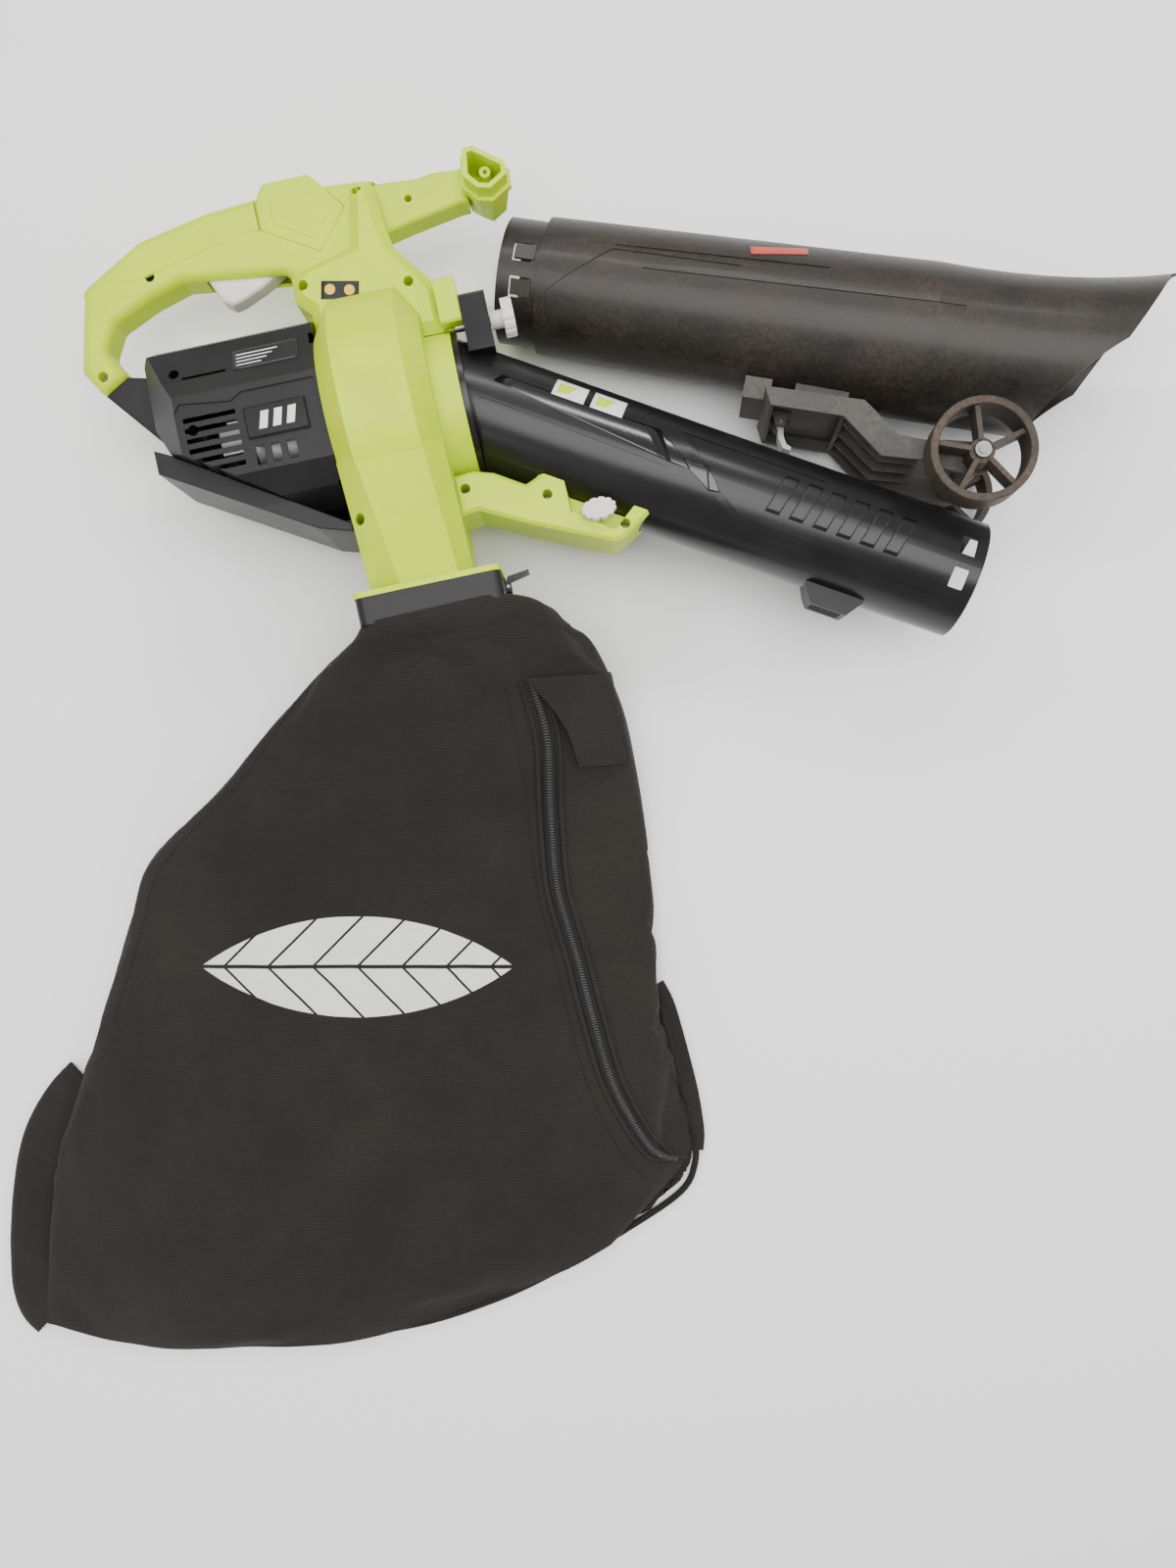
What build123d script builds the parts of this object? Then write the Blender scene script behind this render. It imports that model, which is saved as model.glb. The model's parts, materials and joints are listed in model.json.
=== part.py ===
from build123d import *
import math
import os

# Electric leaf vacuum mulcher, laid on its side on the floor with its bag flat and its lower
# tube taken off beside it. Millimetres. While it is drawn, X is the fan's axis and runs towards
# the tubes, Y points from the bag to the handle, and Z = 0 is the plane where the half shells
# meet. The finished pieces are moved so that the origin is the middle of the footprint.

fan_radius = 112.0            # outside of the volute's rim, which lies on the floor
floor = -fan_radius
wall = 3.0                    # wall of every moulded casing
seam = 0.05                   # half of the gap where two half shells meet
joint_gap = 0.2               # free space between parts fixed to each other
gap = 0.3                     # free space between bodies that move apart

volute_left_x = -118.0        # the motor's side of the volute
volute_right_x = -24.0        # the tube's side of the volute
rim_left_x = -100.0
rim_right_x = -41.0
side_radius = 86.0
neck_top_y = -50.0
flange_y = -160.0
flange_thickness = 5.0
inlet_radius = 66.0
inlet_bore = 56.0

grip_height = 21.0            # half of the handle's thickness, across the seam plane
grip_edge = 11.0              # rounding of the handle's long edges
column_height = 38.0
pivot = (-142, 168)           # of the trigger
pin_radius = 2.0
front_arm_height = 15.0
arm_root_height = 19.0
stub_low = -20.0              # the front grip stands up on one side only, open at its top
lip_level = 24.0
stub_high = 48.0

motor_rear_x = -272.0
motor_height = 76.0
strut_height = 17.0
vent_count = 6
vent_pitch = 9.0
foot_height = 52.0
shaft_radius = 5.0
running = 0.05                # radial clearance of a running fit
impeller_radius = 90.0
blade_count = 8

tube_angle = -31.3            # upper tube, measured from the fan's axis
tube_length = 486.0
tube_radius = 54.0
tube_wall = 2.5
collar_radius = 66.0
collar_thickness = 5.0
spigot_depth = 8.0            # part of the tube that enters the inlet
tube_end_radius = 53.8        # turned-down end that the lower tube slides over
tube_end_length = 36.0

arm_height = 34.0
bag_thickness = 40.0
strap_height = 12.0
collar_low_y = -189.0         # where the bag's collar ends and its cuff begins

loose_angle = -22.3           # lower tube, measured from the fan's axis
loose_start = (62.2, 128.3)   # middle of its coupling
loose_radius = 62.0
coupling_radius = 57.0
coupling_length = 38.0
socket_radius = 54.4
tab_angles = (26, -6)         # about the tube's axis; each is repeated on the underside
axle_x = 457.0
axle_y = -119.0
axle_radius = 4.0
wheel_radius = 46.0
wheel_inner = 59.0
wheel_width = 32.0
hub_width = 24.0
spoke_count = 5

# the lower tube rests on its widest rim near the coupling and on the edge of the far wheel
loose_tilt = math.atan((wheel_inner + wheel_width - loose_radius)
                       / (axle_x - wheel_radius - coupling_length))
loose_height = floor + loose_radius * math.cos(loose_tilt) - coupling_length * math.sin(loose_tilt)

neck_screw = (-109.5, -98)
left_screws = [(-257, 168), (-56, 200), (-27, 108), (-120, 124), (-317, 88)]
arm_screws = [(-16, -83), (55, -103), (118, -143)]
motor_screws = [(-243, 60), (-233, 4)]
screw_radius = 2.0
recess_radius = 4.6
boss_radius = 7.0

pieces = {}


def flat_face(points, grow=0.0):
    """Face on a polygon in the XY plane, grown or shrunk all round."""
    face = make_face(Polyline(*points, close=True))
    return offset(face, grow) if grow else face


def prism_from(face, low, high):
    return Pos(0, 0, low) * extrude(face, high - low)


def prism(points, low, high):
    """Straight block on a polygon in the XY plane."""
    return prism_from(flat_face(points), low, high)


def rounded_face(points, radius):
    return fillet(flat_face(points).vertices(), radius)


def rod(start, end, radius):
    """Round bar from one point to another."""
    axis = Vector(*end) - Vector(*start)
    place = Plane(origin=start, z_dir=axis)
    return place * Cylinder(radius, axis.length, align=(Align.CENTER, Align.CENTER, Align.MIN))


def pipe(start, end, outer, inner):
    return rod(start, end, outer) - rod(start, end, inner)


def block(x, y, z):
    """Box between pairs of limits, in either order."""
    size = [abs(limits[1] - limits[0]) for limits in (x, y, z)]
    centre = [(limits[0] + limits[1]) / 2 for limits in (x, y, z)]
    return Pos(*centre) * Box(*size)


def pillow(face, height, edge):
    """Half of a moulded form: flat on the seam plane, with its outer edge rounded."""
    body = extrude(face, height)
    return fillet(body.edges().filter_by(Plane.XY).group_by(Axis.Z)[-1], edge)


def upper_half(shape):
    return shape & block((-900, 900), (-1200, 900), (seam, 400))


def lower_half(shape):
    return shape & block((-900, 900), (-1200, 900), (-400, -seam))


def both_sides(half):
    return half + mirror(half, about=Plane.XY)


def section_at(y, points):
    """Polygon of (x, z) points in the plane at one Y."""
    plane = Plane(origin=(0, y, 0), x_dir=(1, 0, 0), z_dir=(0, -1, 0))
    return plane * make_face(Polyline(*points, close=True))


def on_tube(shape):
    """From the upper tube's own frame, with X along it, to the machine's frame."""
    return Rot(0, 0, tube_angle) * shape


# ---------------------------------------------------------------- volute

def volute_form(inset):
    """Scroll and outlet neck, as a solid: set in by a wall's thickness, or grown below zero."""
    slope = 0.45 * inset
    rim = fan_radius - inset
    side = side_radius - inset + slope
    left = volute_left_x + inset
    right = volute_right_x - inset
    profile = make_face(Polyline(
        (left, 0), (left, side), (rim_left_x + slope, rim),
        (rim_right_x - slope, rim), (right, side), (right, 0), close=True))
    scroll = revolve(profile, Axis.X)

    def section(y, low_side, high, x_left, x_right, ridge_left, ridge_right):
        points = [(x_left, -low_side), (x_left, low_side), (ridge_left, high), (ridge_right, high),
                  (x_right, low_side), (x_right, -low_side), (ridge_right, -high), (ridge_left, -high)]
        return section_at(y, points)

    top = section(neck_top_y, 76 - inset, 99 - inset, left, right, rim_left_x + slope, rim_right_x - slope)
    end = section(flange_y, 30 - slope, 54 - inset, left, right, -88 + slope, -36 - slope)
    return scroll + loft([top, end], ruled=True)


def flange_plate():
    face = Plane(origin=(-65, flange_y, 0), x_dir=(1, 0, 0), z_dir=(0, -1, 0)) * RectangleRounded(
        132, 128, 8)
    return extrude(face, flange_thickness, dir=(0, -1, 0))


def make_volute():
    outside = volute_form(0)
    inside = volute_form(wall)
    mouth = block((-113, -29), (flange_y - flange_thickness - 1, flange_y + 1), (-49, 49))
    inlet = rod((volute_right_x - 1, 0, 0), (-0.5, 0, 0), inlet_radius)
    inlet_hole = rod((volute_right_x - 8, 0, 0), (1, 0, 0), inlet_bore)
    shaft_hole = rod((volute_left_x - 1, 0, 0), (volute_left_x + 14, 0, 0), 11.0)
    boss = rod((volute_left_x + 1, 0, 0), (volute_left_x + 12, 0, 0), 16.0)
    body = outside + flange_plate() + inlet - inside - mouth + boss - inlet_hole - shaft_hole
    body = screw_seats(body, outside, [neck_screw], 8)
    pieces["volute_left_shell"] = upper_half(body)
    pieces["volute_right_shell"] = lower_half(body)


# ---------------------------------------------------------------- rear handle and column

loop_outline = [
    (-122, 98), (-134, 122), (-132, 147), (-208, 157), (-230, 160), (-264, 150), (-298, 135),
    (-311, 112), (-296, 86), (-321, 72), (-337, 98), (-320, 171), (-262, 204), (-196, 217), (-140, 221),
    (-98, 221), (-38, 216), (-37, 158), (-34, 143), (-10, 112), (-10, 90), (-60, 70)]

column_outline = [
    (-118.5, 62), (-118.5, 100), (-130, 112), (-130, 134), (-117, 142), (-72, 152), (-62, 204), (-42, 206),
    (-37, 158), (-34, 143), (-10, 112), (-3, 99), (-3, 60)]

grip_strip = [
    (-345, 160), (-290, 172.5), (-274, 166), (-158, 190.5), (-150, 188), (-150, 240), (-345, 240)]

chevron = [
    (-149.4, 187.5), (-100, 158), (-70, 194), (-90, 221), (-98, 229.5), (-140, 229.5), (-149.4, 215)]


def grip_form(grow):
    outline = rounded_face(loop_outline, 8)
    face = offset(outline, grow) if grow else outline
    return pillow(face, grip_height + grow, grip_edge + grow)


def column_form(grow):
    body = extrude(flat_face(column_outline, grow), column_height + grow)
    return chamfer(body.edges().filter_by(Plane.XY).group_by(Axis.Z)[-1], 9 + grow)


def clear_of_volute(extra=gap):
    """Space that the volute and the tube's collar fill, with a little room round them."""
    collar_space = rod((volute_right_x - 1, 0, 0), (20, 0, 0), collar_radius + 0.6)
    return volute_form(-extra) + collar_space


def screw_seats(body, outside, places, floor_level):
    """Bosses with sunk screw heads on one half shell, and their pilot holes on the other."""
    for x, y in places:
        body += rod((x, y, -80), (x, y, 80), boss_radius) & outside
        body -= rod((x, y, floor_level), (x, y, 120), recess_radius)
        body -= rod((x, y, -13), (x, y, floor_level), screw_radius)
    return body


def make_screws(name, places, head_level):
    screws = Part()
    for x, y in places:
        head = rod((x, y, head_level + 0.02), (x, y, head_level + 2.6), 3.9)
        head -= Pos(x, y, head_level + 2.0) * Box(5.0, 1.2, 3.0)
        head -= Pos(x, y, head_level + 2.0) * Box(1.2, 5.0, 3.0)
        screws += head + rod((x, y, -12), (x, y, head_level + 0.5), screw_radius - 0.02)
    pieces[name] = screws


def clamp_boss():
    """Square boss beside the inlet that the tube's knob screws into."""
    body = block((-6, 13), (60, 100), (14, 50))
    body = chamfer(body.edges().filter_by(Axis.X), 2)
    return body - rod((-4, 60, 32), (20, 60, 32), 4.4) - rod((-10, 80, 32), (20, 80, 32), 4.4)


def make_handle():
    outside = both_sides(grip_form(0)) + both_sides(column_form(0))
    inside = both_sides(grip_form(-wall)) + both_sides(column_form(-wall))
    volute_space = clear_of_volute()
    shell = outside - inside
    shell = screw_seats(shell, outside, left_screws, 8)
    # slot for the trigger, and the seats of its pivot pin
    shell -= block((-209.5, -133.5), (128, 172), (-11.6, 11.6))
    shell += both_sides(pipe((*pivot, 11.8), (*pivot, 20), 5, pin_radius + 0.02)) & outside
    shell -= prism(grip_strip, -60, 60)
    shell -= prism(chevron, -60, 60)
    for points, height in ((front_arm, front_arm_height), (arm_root, arm_root_height)):
        shell -= prism_from(flat_face(points, joint_gap), -height - joint_gap, height + joint_gap)
    shell -= volute_space
    pieces["handle_left_shell"] = upper_half(shell) + (clamp_boss() - volute_space)
    pieces["handle_right_shell"] = lower_half(shell)
    make_screws("housing_screws", left_screws + [neck_screw], 8)

    proud = both_sides(grip_form(0.5)) - inside
    strip = proud & (prism(grip_strip, -60, 60) - block((-151, -140), (150, 260), (-60, 60)))
    pieces["grip_insert"] = strip - Pos(0, -0.25, 0) * (outside - prism(grip_strip, -60, 60))
    make_chevron()


def make_chevron():
    """Hollow saddle over the switch, with two raised steps on each side."""
    cap = pillow(rounded_face(chevron, 3), grip_height + 1.0, 2.5)
    step = [(-138, 192), (-102, 170), (-82, 195), (-96, 212), (-136, 212)]
    cap += pillow(flat_face(step), grip_height + 1.9, 0.8)
    saddle = both_sides(cap) - prism_from(flat_face(chevron, -2.6), -grip_height + 1.4, grip_height - 1.4)
    pieces["switch_cover"] = saddle & prism_from(flat_face(chevron, -joint_gap), -60, 60)


# ---------------------------------------------------------------- front handle

front_arm = [(-46, 165), (-37.5, 166), (-14, 171), (33, 179), (41, 179), (41, 210), (12, 212), (-2, 209.7),
             (-25, 211.5), (-46, 213)]
arm_root = [(-46, 166.5), (-37, 166.5), (-4, 173), (-4, 208.5), (-37, 211.5), (-46, 211.5)]
stub_outline = [(39, 184), (50, 171), (62, 168), (79, 178), (80, 190), (54, 210), (43, 209)]
stub_foot = [(42, 186), (51, 178), (60, 172), (74, 180), (75, 189), (54, 203), (45, 203)]


def make_front_handle():
    arm = both_sides(pillow(flat_face(front_arm), front_arm_height, 5))
    arm += both_sides(pillow(rounded_face(arm_root, 2), arm_root_height, 3))
    stub = loft([Pos(0, 0, stub_low) * flat_face(stub_foot), Pos(0, 0, lip_level) * flat_face(stub_outline)],
                ruled=True)
    stub += prism_from(flat_face(stub_outline, 2.2), lip_level, lip_level + 7)
    stub += prism_from(flat_face(stub_outline, -1.0), lip_level + 6, stub_high)
    solid = arm + stub - prism_from(flat_face(stub_outline, -5.2), 4, stub_high + 1)
    # post inside the open end, and the hole for a strap's hook
    solid += rod((60, 189, 2), (60, 189, 38), 5)
    solid -= rod((60, 189, 12), (60, 189, 60), 2)
    solid -= rod((-13, 192, -30), (-13, 192, 30), 3.5)
    pieces["front_handle"] = solid


# ---------------------------------------------------------------- trigger and switches

trigger_outline = [
    (-209, 168), (-208, 158), (-199, 138), (-191, 132), (-181, 134.5), (-160, 143), (-140, 155), (-137, 160),
    (-137, 171), (-205, 171)]


def make_trigger():
    body = both_sides(pillow(rounded_face(trigger_outline, 2.5), 11.0, 4))
    body -= prism([(-200, 160), (-192, 142), (-183, 142), (-155, 156), (-152, 173), (-198, 173)], -8, 8)
    body += rod((*pivot, -11), (*pivot, 11), 5.5)
    body -= rod((*pivot, -12), (*pivot, 12), pin_radius + running)
    pieces["trigger"] = body
    pieces["trigger_pin"] = rod((*pivot, -17.9), (*pivot, 17.9), pin_radius)


def make_switches():
    case = block((-187, -153), (184, 201), (-9, 9))
    case = fillet(case.edges(), 1.0)
    tabs = block((-170, -166), (200.5, 207), (-3, 3)) + block((-160, -156), (200.5, 207), (-3, 3))
    pieces["power_switch"] = case + tabs
    latch = block((-30, -12), (74, 96), (-26, -12))
    latch = fillet(latch.edges().filter_by(Axis.Z), 1.5)
    pieces["interlock_switch"] = latch - clear_of_volute(1.0)


# ---------------------------------------------------------------- motor casing

motor_section = [
    (92, 0), (92, 34), (84, 50), (50, 66), (34, motor_height), (-42, motor_height), (-62, 58),
    (-76, 30), (-80, 0)]
motor_side = [
    (-118.4, 100), (-136, 100), (-262, 92), (-273, 79), (-275, 24), (-262, -5), (-146, -79), (-118.4, -96)]
vent_field = [
    (-247, 20), (-240, 28), (-196, 22), (-186, 28), (-122, 28), (-122, -40), (-196, -40), (-226, -30),
    (-247, -18)]
strut_outline = [(-319.5, 72), (-296.5, 85.2), (-272, 79), (-262, 79), (-262, 12), (-276, 18)]


def motor_form(inset):
    """Upper half of the motor casing: a faceted tunnel with a sloping rear."""
    end = flat_face([*motor_section, (-80, -20), (92, -20)], -inset)
    tunnel = Pos(motor_rear_x - 8, 0, 0) * extrude(Plane.YZ * end, 180, dir=(1, 0, 0))
    side = flat_face(motor_side, -inset)
    slope = Pos(motor_rear_x + inset, 0, motor_height - 34) * Rot(0, -52, 0) * Box(
        120, 300, 60, align=(Align.CENTER, Align.CENTER, Align.MIN))
    shape = (tunnel & prism_from(side, -1, motor_height + 10)) - slope
    return shape & block((-400, 0), (-200, 200), (0, 200))


def make_motor_covers():
    outside = both_sides(motor_form(0))
    inside = both_sides(motor_form(wall))
    open_front = block((volute_left_x - 4, volute_left_x), (-66, 74), (-60, 60))
    strut_out = both_sides(pillow(flat_face(strut_outline), strut_height, 2.5))
    strut_in = prism_from(flat_face(strut_outline, -wall), -strut_height + 4, strut_height - 4)
    handle_space = both_sides(grip_form(gap))
    column_space = prism_from(flat_face(column_outline, gap), -column_height - gap, column_height + gap)
    shell = (outside + strut_out) - inside - strut_in - open_front
    shell = screw_seats(shell, outside, motor_screws, 8)
    shell -= handle_space + column_space
    shell -= rod((volute_left_x - 5, 0, 0), (volute_left_x + 5, 0, 0), 60)
    # sunk vent field with louvres, on both sides
    for side in (1, -1):
        shell -= prism(vent_field, side * (motor_height - 1.6), side * 90)
        for row in range(vent_count):
            y = 11 - vent_pitch * row
            shell -= block((-240, -194), (y, y + 4.2), (side * 40, side * 90))
        shell -= block((-236, -197), (52, 54.5), (side * 56, side * 90))
        for x in (-180, -166, -152):
            shell -= block((x - 4, x + 4), (-37, -21), (side * 40, side * 90))
    pieces["motor_left_cover"] = upper_half(shell)
    pieces["motor_right_cover"] = lower_half(shell)
    make_screws("motor_screws", motor_screws, 8)

    badge = block((-187, -133), (-14, 13), (motor_height - 1.5, motor_height + 1.6))
    badge = chamfer(badge.edges().group_by(Axis.Z)[-1], 1.0)
    pieces["badge_plate"] = badge
    foot = [(-277, 2), (-277, -19), (-149, -95), (-119, -104), (-119, -96.5), (-146, -79.4), (-262, -5.4)]
    pieces["base_foot"] = both_sides(pillow(flat_face(foot), foot_height, 1.5))


def make_power_inlet():
    """Sunk plug recess in the strut's outer face, with two blades."""
    def level(depth, across_x=0):
        plane = Plane(origin=(-298, 47, 0), x_dir=(0, 0, 1), z_dir=(-0.757, -0.653, 0))
        return plane * Pos(across_x, 0, depth)

    hole = extrude(level(-16) * RectangleRounded(24.4, 20.4, 4), 40)
    pieces["motor_left_cover"] -= hole
    pieces["motor_right_cover"] -= hole
    socket = extrude(level(-15) * RectangleRounded(24, 20, 4), 15.5)
    socket -= extrude(level(-11) * RectangleRounded(19, 15, 2.5), 20)
    blades = Part()
    for side in (-5, 5):
        blades += extrude(level(-14, side) * Rectangle(1.5, 6.3), 12)
    pieces["power_inlet"] = socket - blades
    pieces["inlet_blades"] = blades


# ---------------------------------------------------------------- motor and fan

def make_motor():
    stator = pipe((-186, 0, 0), (-136, 0, 0), 42, 26)
    windows = Part()
    for turn in (0, 90, 180, 270):
        windows += Rot(turn, 0, 0) * block((-191, -135), (22, 36), (-5, 5))
    pieces["stator"] = stator - windows
    can = pipe((-190, 0, 0), (volute_left_x - 0.6, 0, 0), 45, 42.1)
    for turn in range(0, 360, 60):
        can -= Rot(turn, 0, 0) * block((-132, -124), (36, 50), (-12, 12))
    pieces["motor_can"] = can
    bridge = block((-219, -215), (-13, 13), (-44, 44))
    for side in (-1, 1):
        bridge += block((-216, -190.2), (-13, 13), (side * 41, side * 44))
    bridge += rod((-225.2, 0, 0), (-215, 0, 0), 14)
    bridge -= rod((-226, 0, 0), (-214, 0, 0), 11)
    pieces["bearing_bridge"] = bridge
    pieces["rear_bearing"] = pipe((-225, 0, 0), (-217, 0, 0), 11, shaft_radius + running)
    front = (volute_left_x + 2.5, volute_left_x + 11)
    pieces["front_bearing"] = pipe((front[0], 0, 0), (front[1], 0, 0), 11, shaft_radius + running)
    brushes = Part()
    for side in (-1, 1):
        brushes += block((-213, -205), (-4, 4), (side * 14.4, side * 40.5))
    pieces["brushes"] = brushes

    pieces["shaft"] = rod((-225.4, 0, 0), (-50, 0, 0), shaft_radius)
    core = pipe((-188, 0, 0), (-138, 0, 0), 25, shaft_radius)
    for turn in range(0, 360, 30):
        core -= Rot(turn, 0, 0) * block((-189, -137), (17, 26), (-2, 2))
    pieces["rotor_core"] = core
    pieces["commutator"] = pipe((-214, 0, 0), (-204, 0, 0), 14, shaft_radius)
    fan = pipe((-131, 0, 0), (-129, 0, 0), 36, shaft_radius)
    for turn in range(0, 360, 45):
        fan += Rot(turn, 0, 0) * block((-130, -124), (8, 34), (-1, 1))
    fan += rod((-131, 0, 0), (-122, 0, 0), 12)
    pieces["cooling_fan"] = fan - rod((-132, 0, 0), (-121, 0, 0), shaft_radius)


def make_impeller():
    back = pipe((-102, 0, 0), (-99, 0, 0), impeller_radius, shaft_radius)
    hub = pipe((-102, 0, 0), (-64, 0, 0), 16, shaft_radius)
    wheel = back + hub
    tip = impeller_radius - 1
    vane = prism([(-99.2, 14), (-66, 14), (-66, 60), (-72, tip), (-99.2, tip)], -1.3, 1.3)
    for index in range(blade_count):
        wheel += Rot(360 / blade_count * index, 0, 0) * vane
    pieces["impeller"] = wheel - rod((-103, 0, 0), (-63, 0, 0), shaft_radius)
    cutter = block((-63.9, -60.9), (-48, 48), (-7, 7))
    cutter -= block((-64, -60), (38, 60), (3, 9)) + block((-64, -60), (-60, -38), (-9, -3))
    pieces["mulching_blade"] = cutter - rod((-70, 0, 0), (-50, 0, 0), shaft_radius)
    nut = extrude(Plane.YZ * RegularPolygon(9, 6), 7, dir=(1, 0, 0))
    pieces["impeller_nut"] = Pos(-60.8, 0, 0) * nut - rod((-70, 0, 0), (-40, 0, 0), shaft_radius)


# ---------------------------------------------------------------- upper tube

def tube_panel(points, radius, depth):
    """Sunk panel on the tube's upper side: a plan outline cut a little way into the wall."""
    skin = pipe((0, 0, 0), (tube_length, 0, 0), radius + 8, radius - depth)
    return prism(points, 5, 90) & skin


tube_stripe = [
    (24, 15.5), (30, 24), (178, 24), (206, 6), (228, 6), (246, -12), (236, -14), (214, -2), (196, -2)]
tube_groove = [(18, -5), (20, -2), (194, -6), (196, -9), (192, -10)]
tube_step = [(196, 30), (330, 30), (330, 27), (204, 27), (240, -8), (270, -25), (480, -30), (480, -33),
             (262, -30), (238, -12)]


def make_upper_tube():
    barrel = on_tube(rod((-40, 0, 0), (tube_length, 0, 0), tube_radius))
    barrel &= block((collar_thickness - 1, 700), (-500, 500), (-80, 80))
    collar = rod((gap, 0, 0), (collar_thickness, 0, 0), collar_radius)
    spigot = rod((-spigot_depth, 0, 0), (collar_thickness, 0, 0), inlet_bore - gap)
    clamp = block((13.5, 37), (30, 82), (12, 52))
    clamp = chamfer(clamp.edges().filter_by(Axis.X).group_by(Axis.Y)[-1], 3)
    clamp -= block((16.5, 38), (33, 50), (15, 49))
    solid = barrel + collar + spigot + clamp
    hollow = on_tube(rod((-40, 0, 0), (tube_length + 1, 0, 0), tube_radius - tube_wall))
    hollow &= block((collar_thickness + 0.5, 800), (-500, 500), (-80, 80))
    hollow += rod((-spigot_depth - 1, 0, 0), (collar_thickness + 0.6, 0, 0), inlet_bore - gap - tube_wall)
    solid -= hollow
    solid -= on_tube(pipe((tube_length - tube_end_length, 0, 0), (tube_length + 1, 0, 0), tube_radius + 1,
                          tube_end_radius))
    solid -= rod((10, 60, 32), (40, 60, 32), 5.6)
    for outline, depth in ((tube_stripe, 0.9), (tube_groove, 0.9), (tube_step, 0.5)):
        solid -= on_tube(tube_panel(outline, tube_radius, depth))
    for angle in (15, -18):
        slot = Rot(angle, 0, 0) * block((462, 476), (-9, 9), (40, 70))
        solid -= on_tube(slot) + on_tube(mirror(slot, about=Plane.XY))
    pieces["upper_tube"] = solid
    pieces["tube_hook"] = make_hook()


def make_hook():
    """Ribbed catch under the tube, for the lower tube's spring."""
    outline = [(346, -50), (352, -62), (358, -70), (392, -70), (403, -54), (403, -50)]
    body = prism(outline, -16, 16)
    for z in (-11, -3, 5):
        body -= block((359, 388), (-71, -62), (z, z + 6))
    body = on_tube(body - rod((340, 0, 0), (410, 0, 0), tube_radius + 0.05))
    return body


def make_knob(origin, axis, head_radius, head_height, squeeze):
    """Fluted head on a round stem; squeeze makes the head oval."""
    place = Plane(origin=origin, z_dir=axis)
    head = extrude(Ellipse(head_radius, head_radius * squeeze), head_height)
    head = fillet(head.edges().group_by(Axis.Z)[-1], 1.6)
    for index in range(12):
        angle = math.radians(30 * index)
        x = (head_radius + 0.6) * math.cos(angle)
        y = (head_radius * squeeze + 0.6) * math.sin(angle)
        head -= rod((x, y, -1), (x, y, head_height + 1), 2.0)
    return place * head


def make_tube_knob():
    head = make_knob((49, 60, 32), (1, 0, 0), 17, 10, 1.0)
    stem = rod((37.6, 60, 32), (49.5, 60, 32), 8)
    stud = rod((5, 60, 32), (44, 60, 32), 4.0)
    pieces["tube_knob"] = head + stem - stud
    pieces["tube_knob_stud"] = stud


# ---------------------------------------------------------------- support arm

arm_outline = [
    (-25, -70), (-6, -68.5), (12, -74), (38, -90), (48, -86), (60, -77), (70, -77), (146, -128), (147, -135),
    (112, -156), (104, -156), (40, -128), (-8, -104), (-25, -106)]
pocket_outline = [(72, -88), (132, -127), (108, -147), (72, -122)]
pocket_floor = [(74.2, -90), (129.4, -125.8), (107.4, -145), (74.2, -121.6)]
arm_bolt = (97, -127)
arm_bolt_radius = 3.5


def make_arm():
    tube_space = on_tube(rod((-60, 0, 0), (400, 0, 0), tube_radius + 1.0))
    outside = both_sides(chamfer(extrude(flat_face(arm_outline), arm_height).edges().group_by(Axis.Z)[-1], 3))
    inside = prism_from(flat_face(arm_outline, -wall), -arm_height + wall, arm_height - wall)
    bottom = Pos(0, 0, 17) * flat_face(pocket_floor)
    pocket = loft([bottom, Pos(0, 0, arm_height + 1) * flat_face(pocket_outline)], ruled=True)
    lining = prism_from(flat_face(pocket_outline, 2.5), 14, arm_height)
    shell = outside - inside + (lining & outside)
    shell = screw_seats(shell, outside, arm_screws, 6)
    shell += rod((*arm_bolt, -arm_height + 1), (*arm_bolt, 17), 9) & outside
    shell -= pocket + rod((*arm_bolt, -60), (*arm_bolt, 60), arm_bolt_radius + running)
    shell -= tube_space
    shell -= rod((-24, 0, 0), (20, 0, 0), collar_radius + 1.0)
    shell -= rod((-60, 0, 0), (-24, 0, 0), fan_radius + gap)
    shell &= block((volute_right_x + 0.1, 400), (-400, 0), (-80, 80))
    pieces["arm_left_shell"] = upper_half(shell)
    pieces["arm_right_shell"] = lower_half(shell)
    make_screws("arm_screws", arm_screws, 6)

    knob_level = arm_height + 0.5
    head = make_knob((*arm_bolt, knob_level), (0, 0, 1), 16, 10.5, 0.62)
    stud = rod((*arm_bolt, -28), (*arm_bolt, 40), arm_bolt_radius)
    pieces["arm_knob"] = head + rod((*arm_bolt, 20), (*arm_bolt, knob_level + 0.5), 6.5) - stud
    pieces["arm_knob_stud"] = stud


# ---------------------------------------------------------------- bag collar and bag

def frame_section(y, width, height, corner):
    plane = Plane(origin=(-65, y, 0), x_dir=(1, 0, 0), z_dir=(0, -1, 0))
    return plane * RectangleRounded(width, height, corner)


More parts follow.
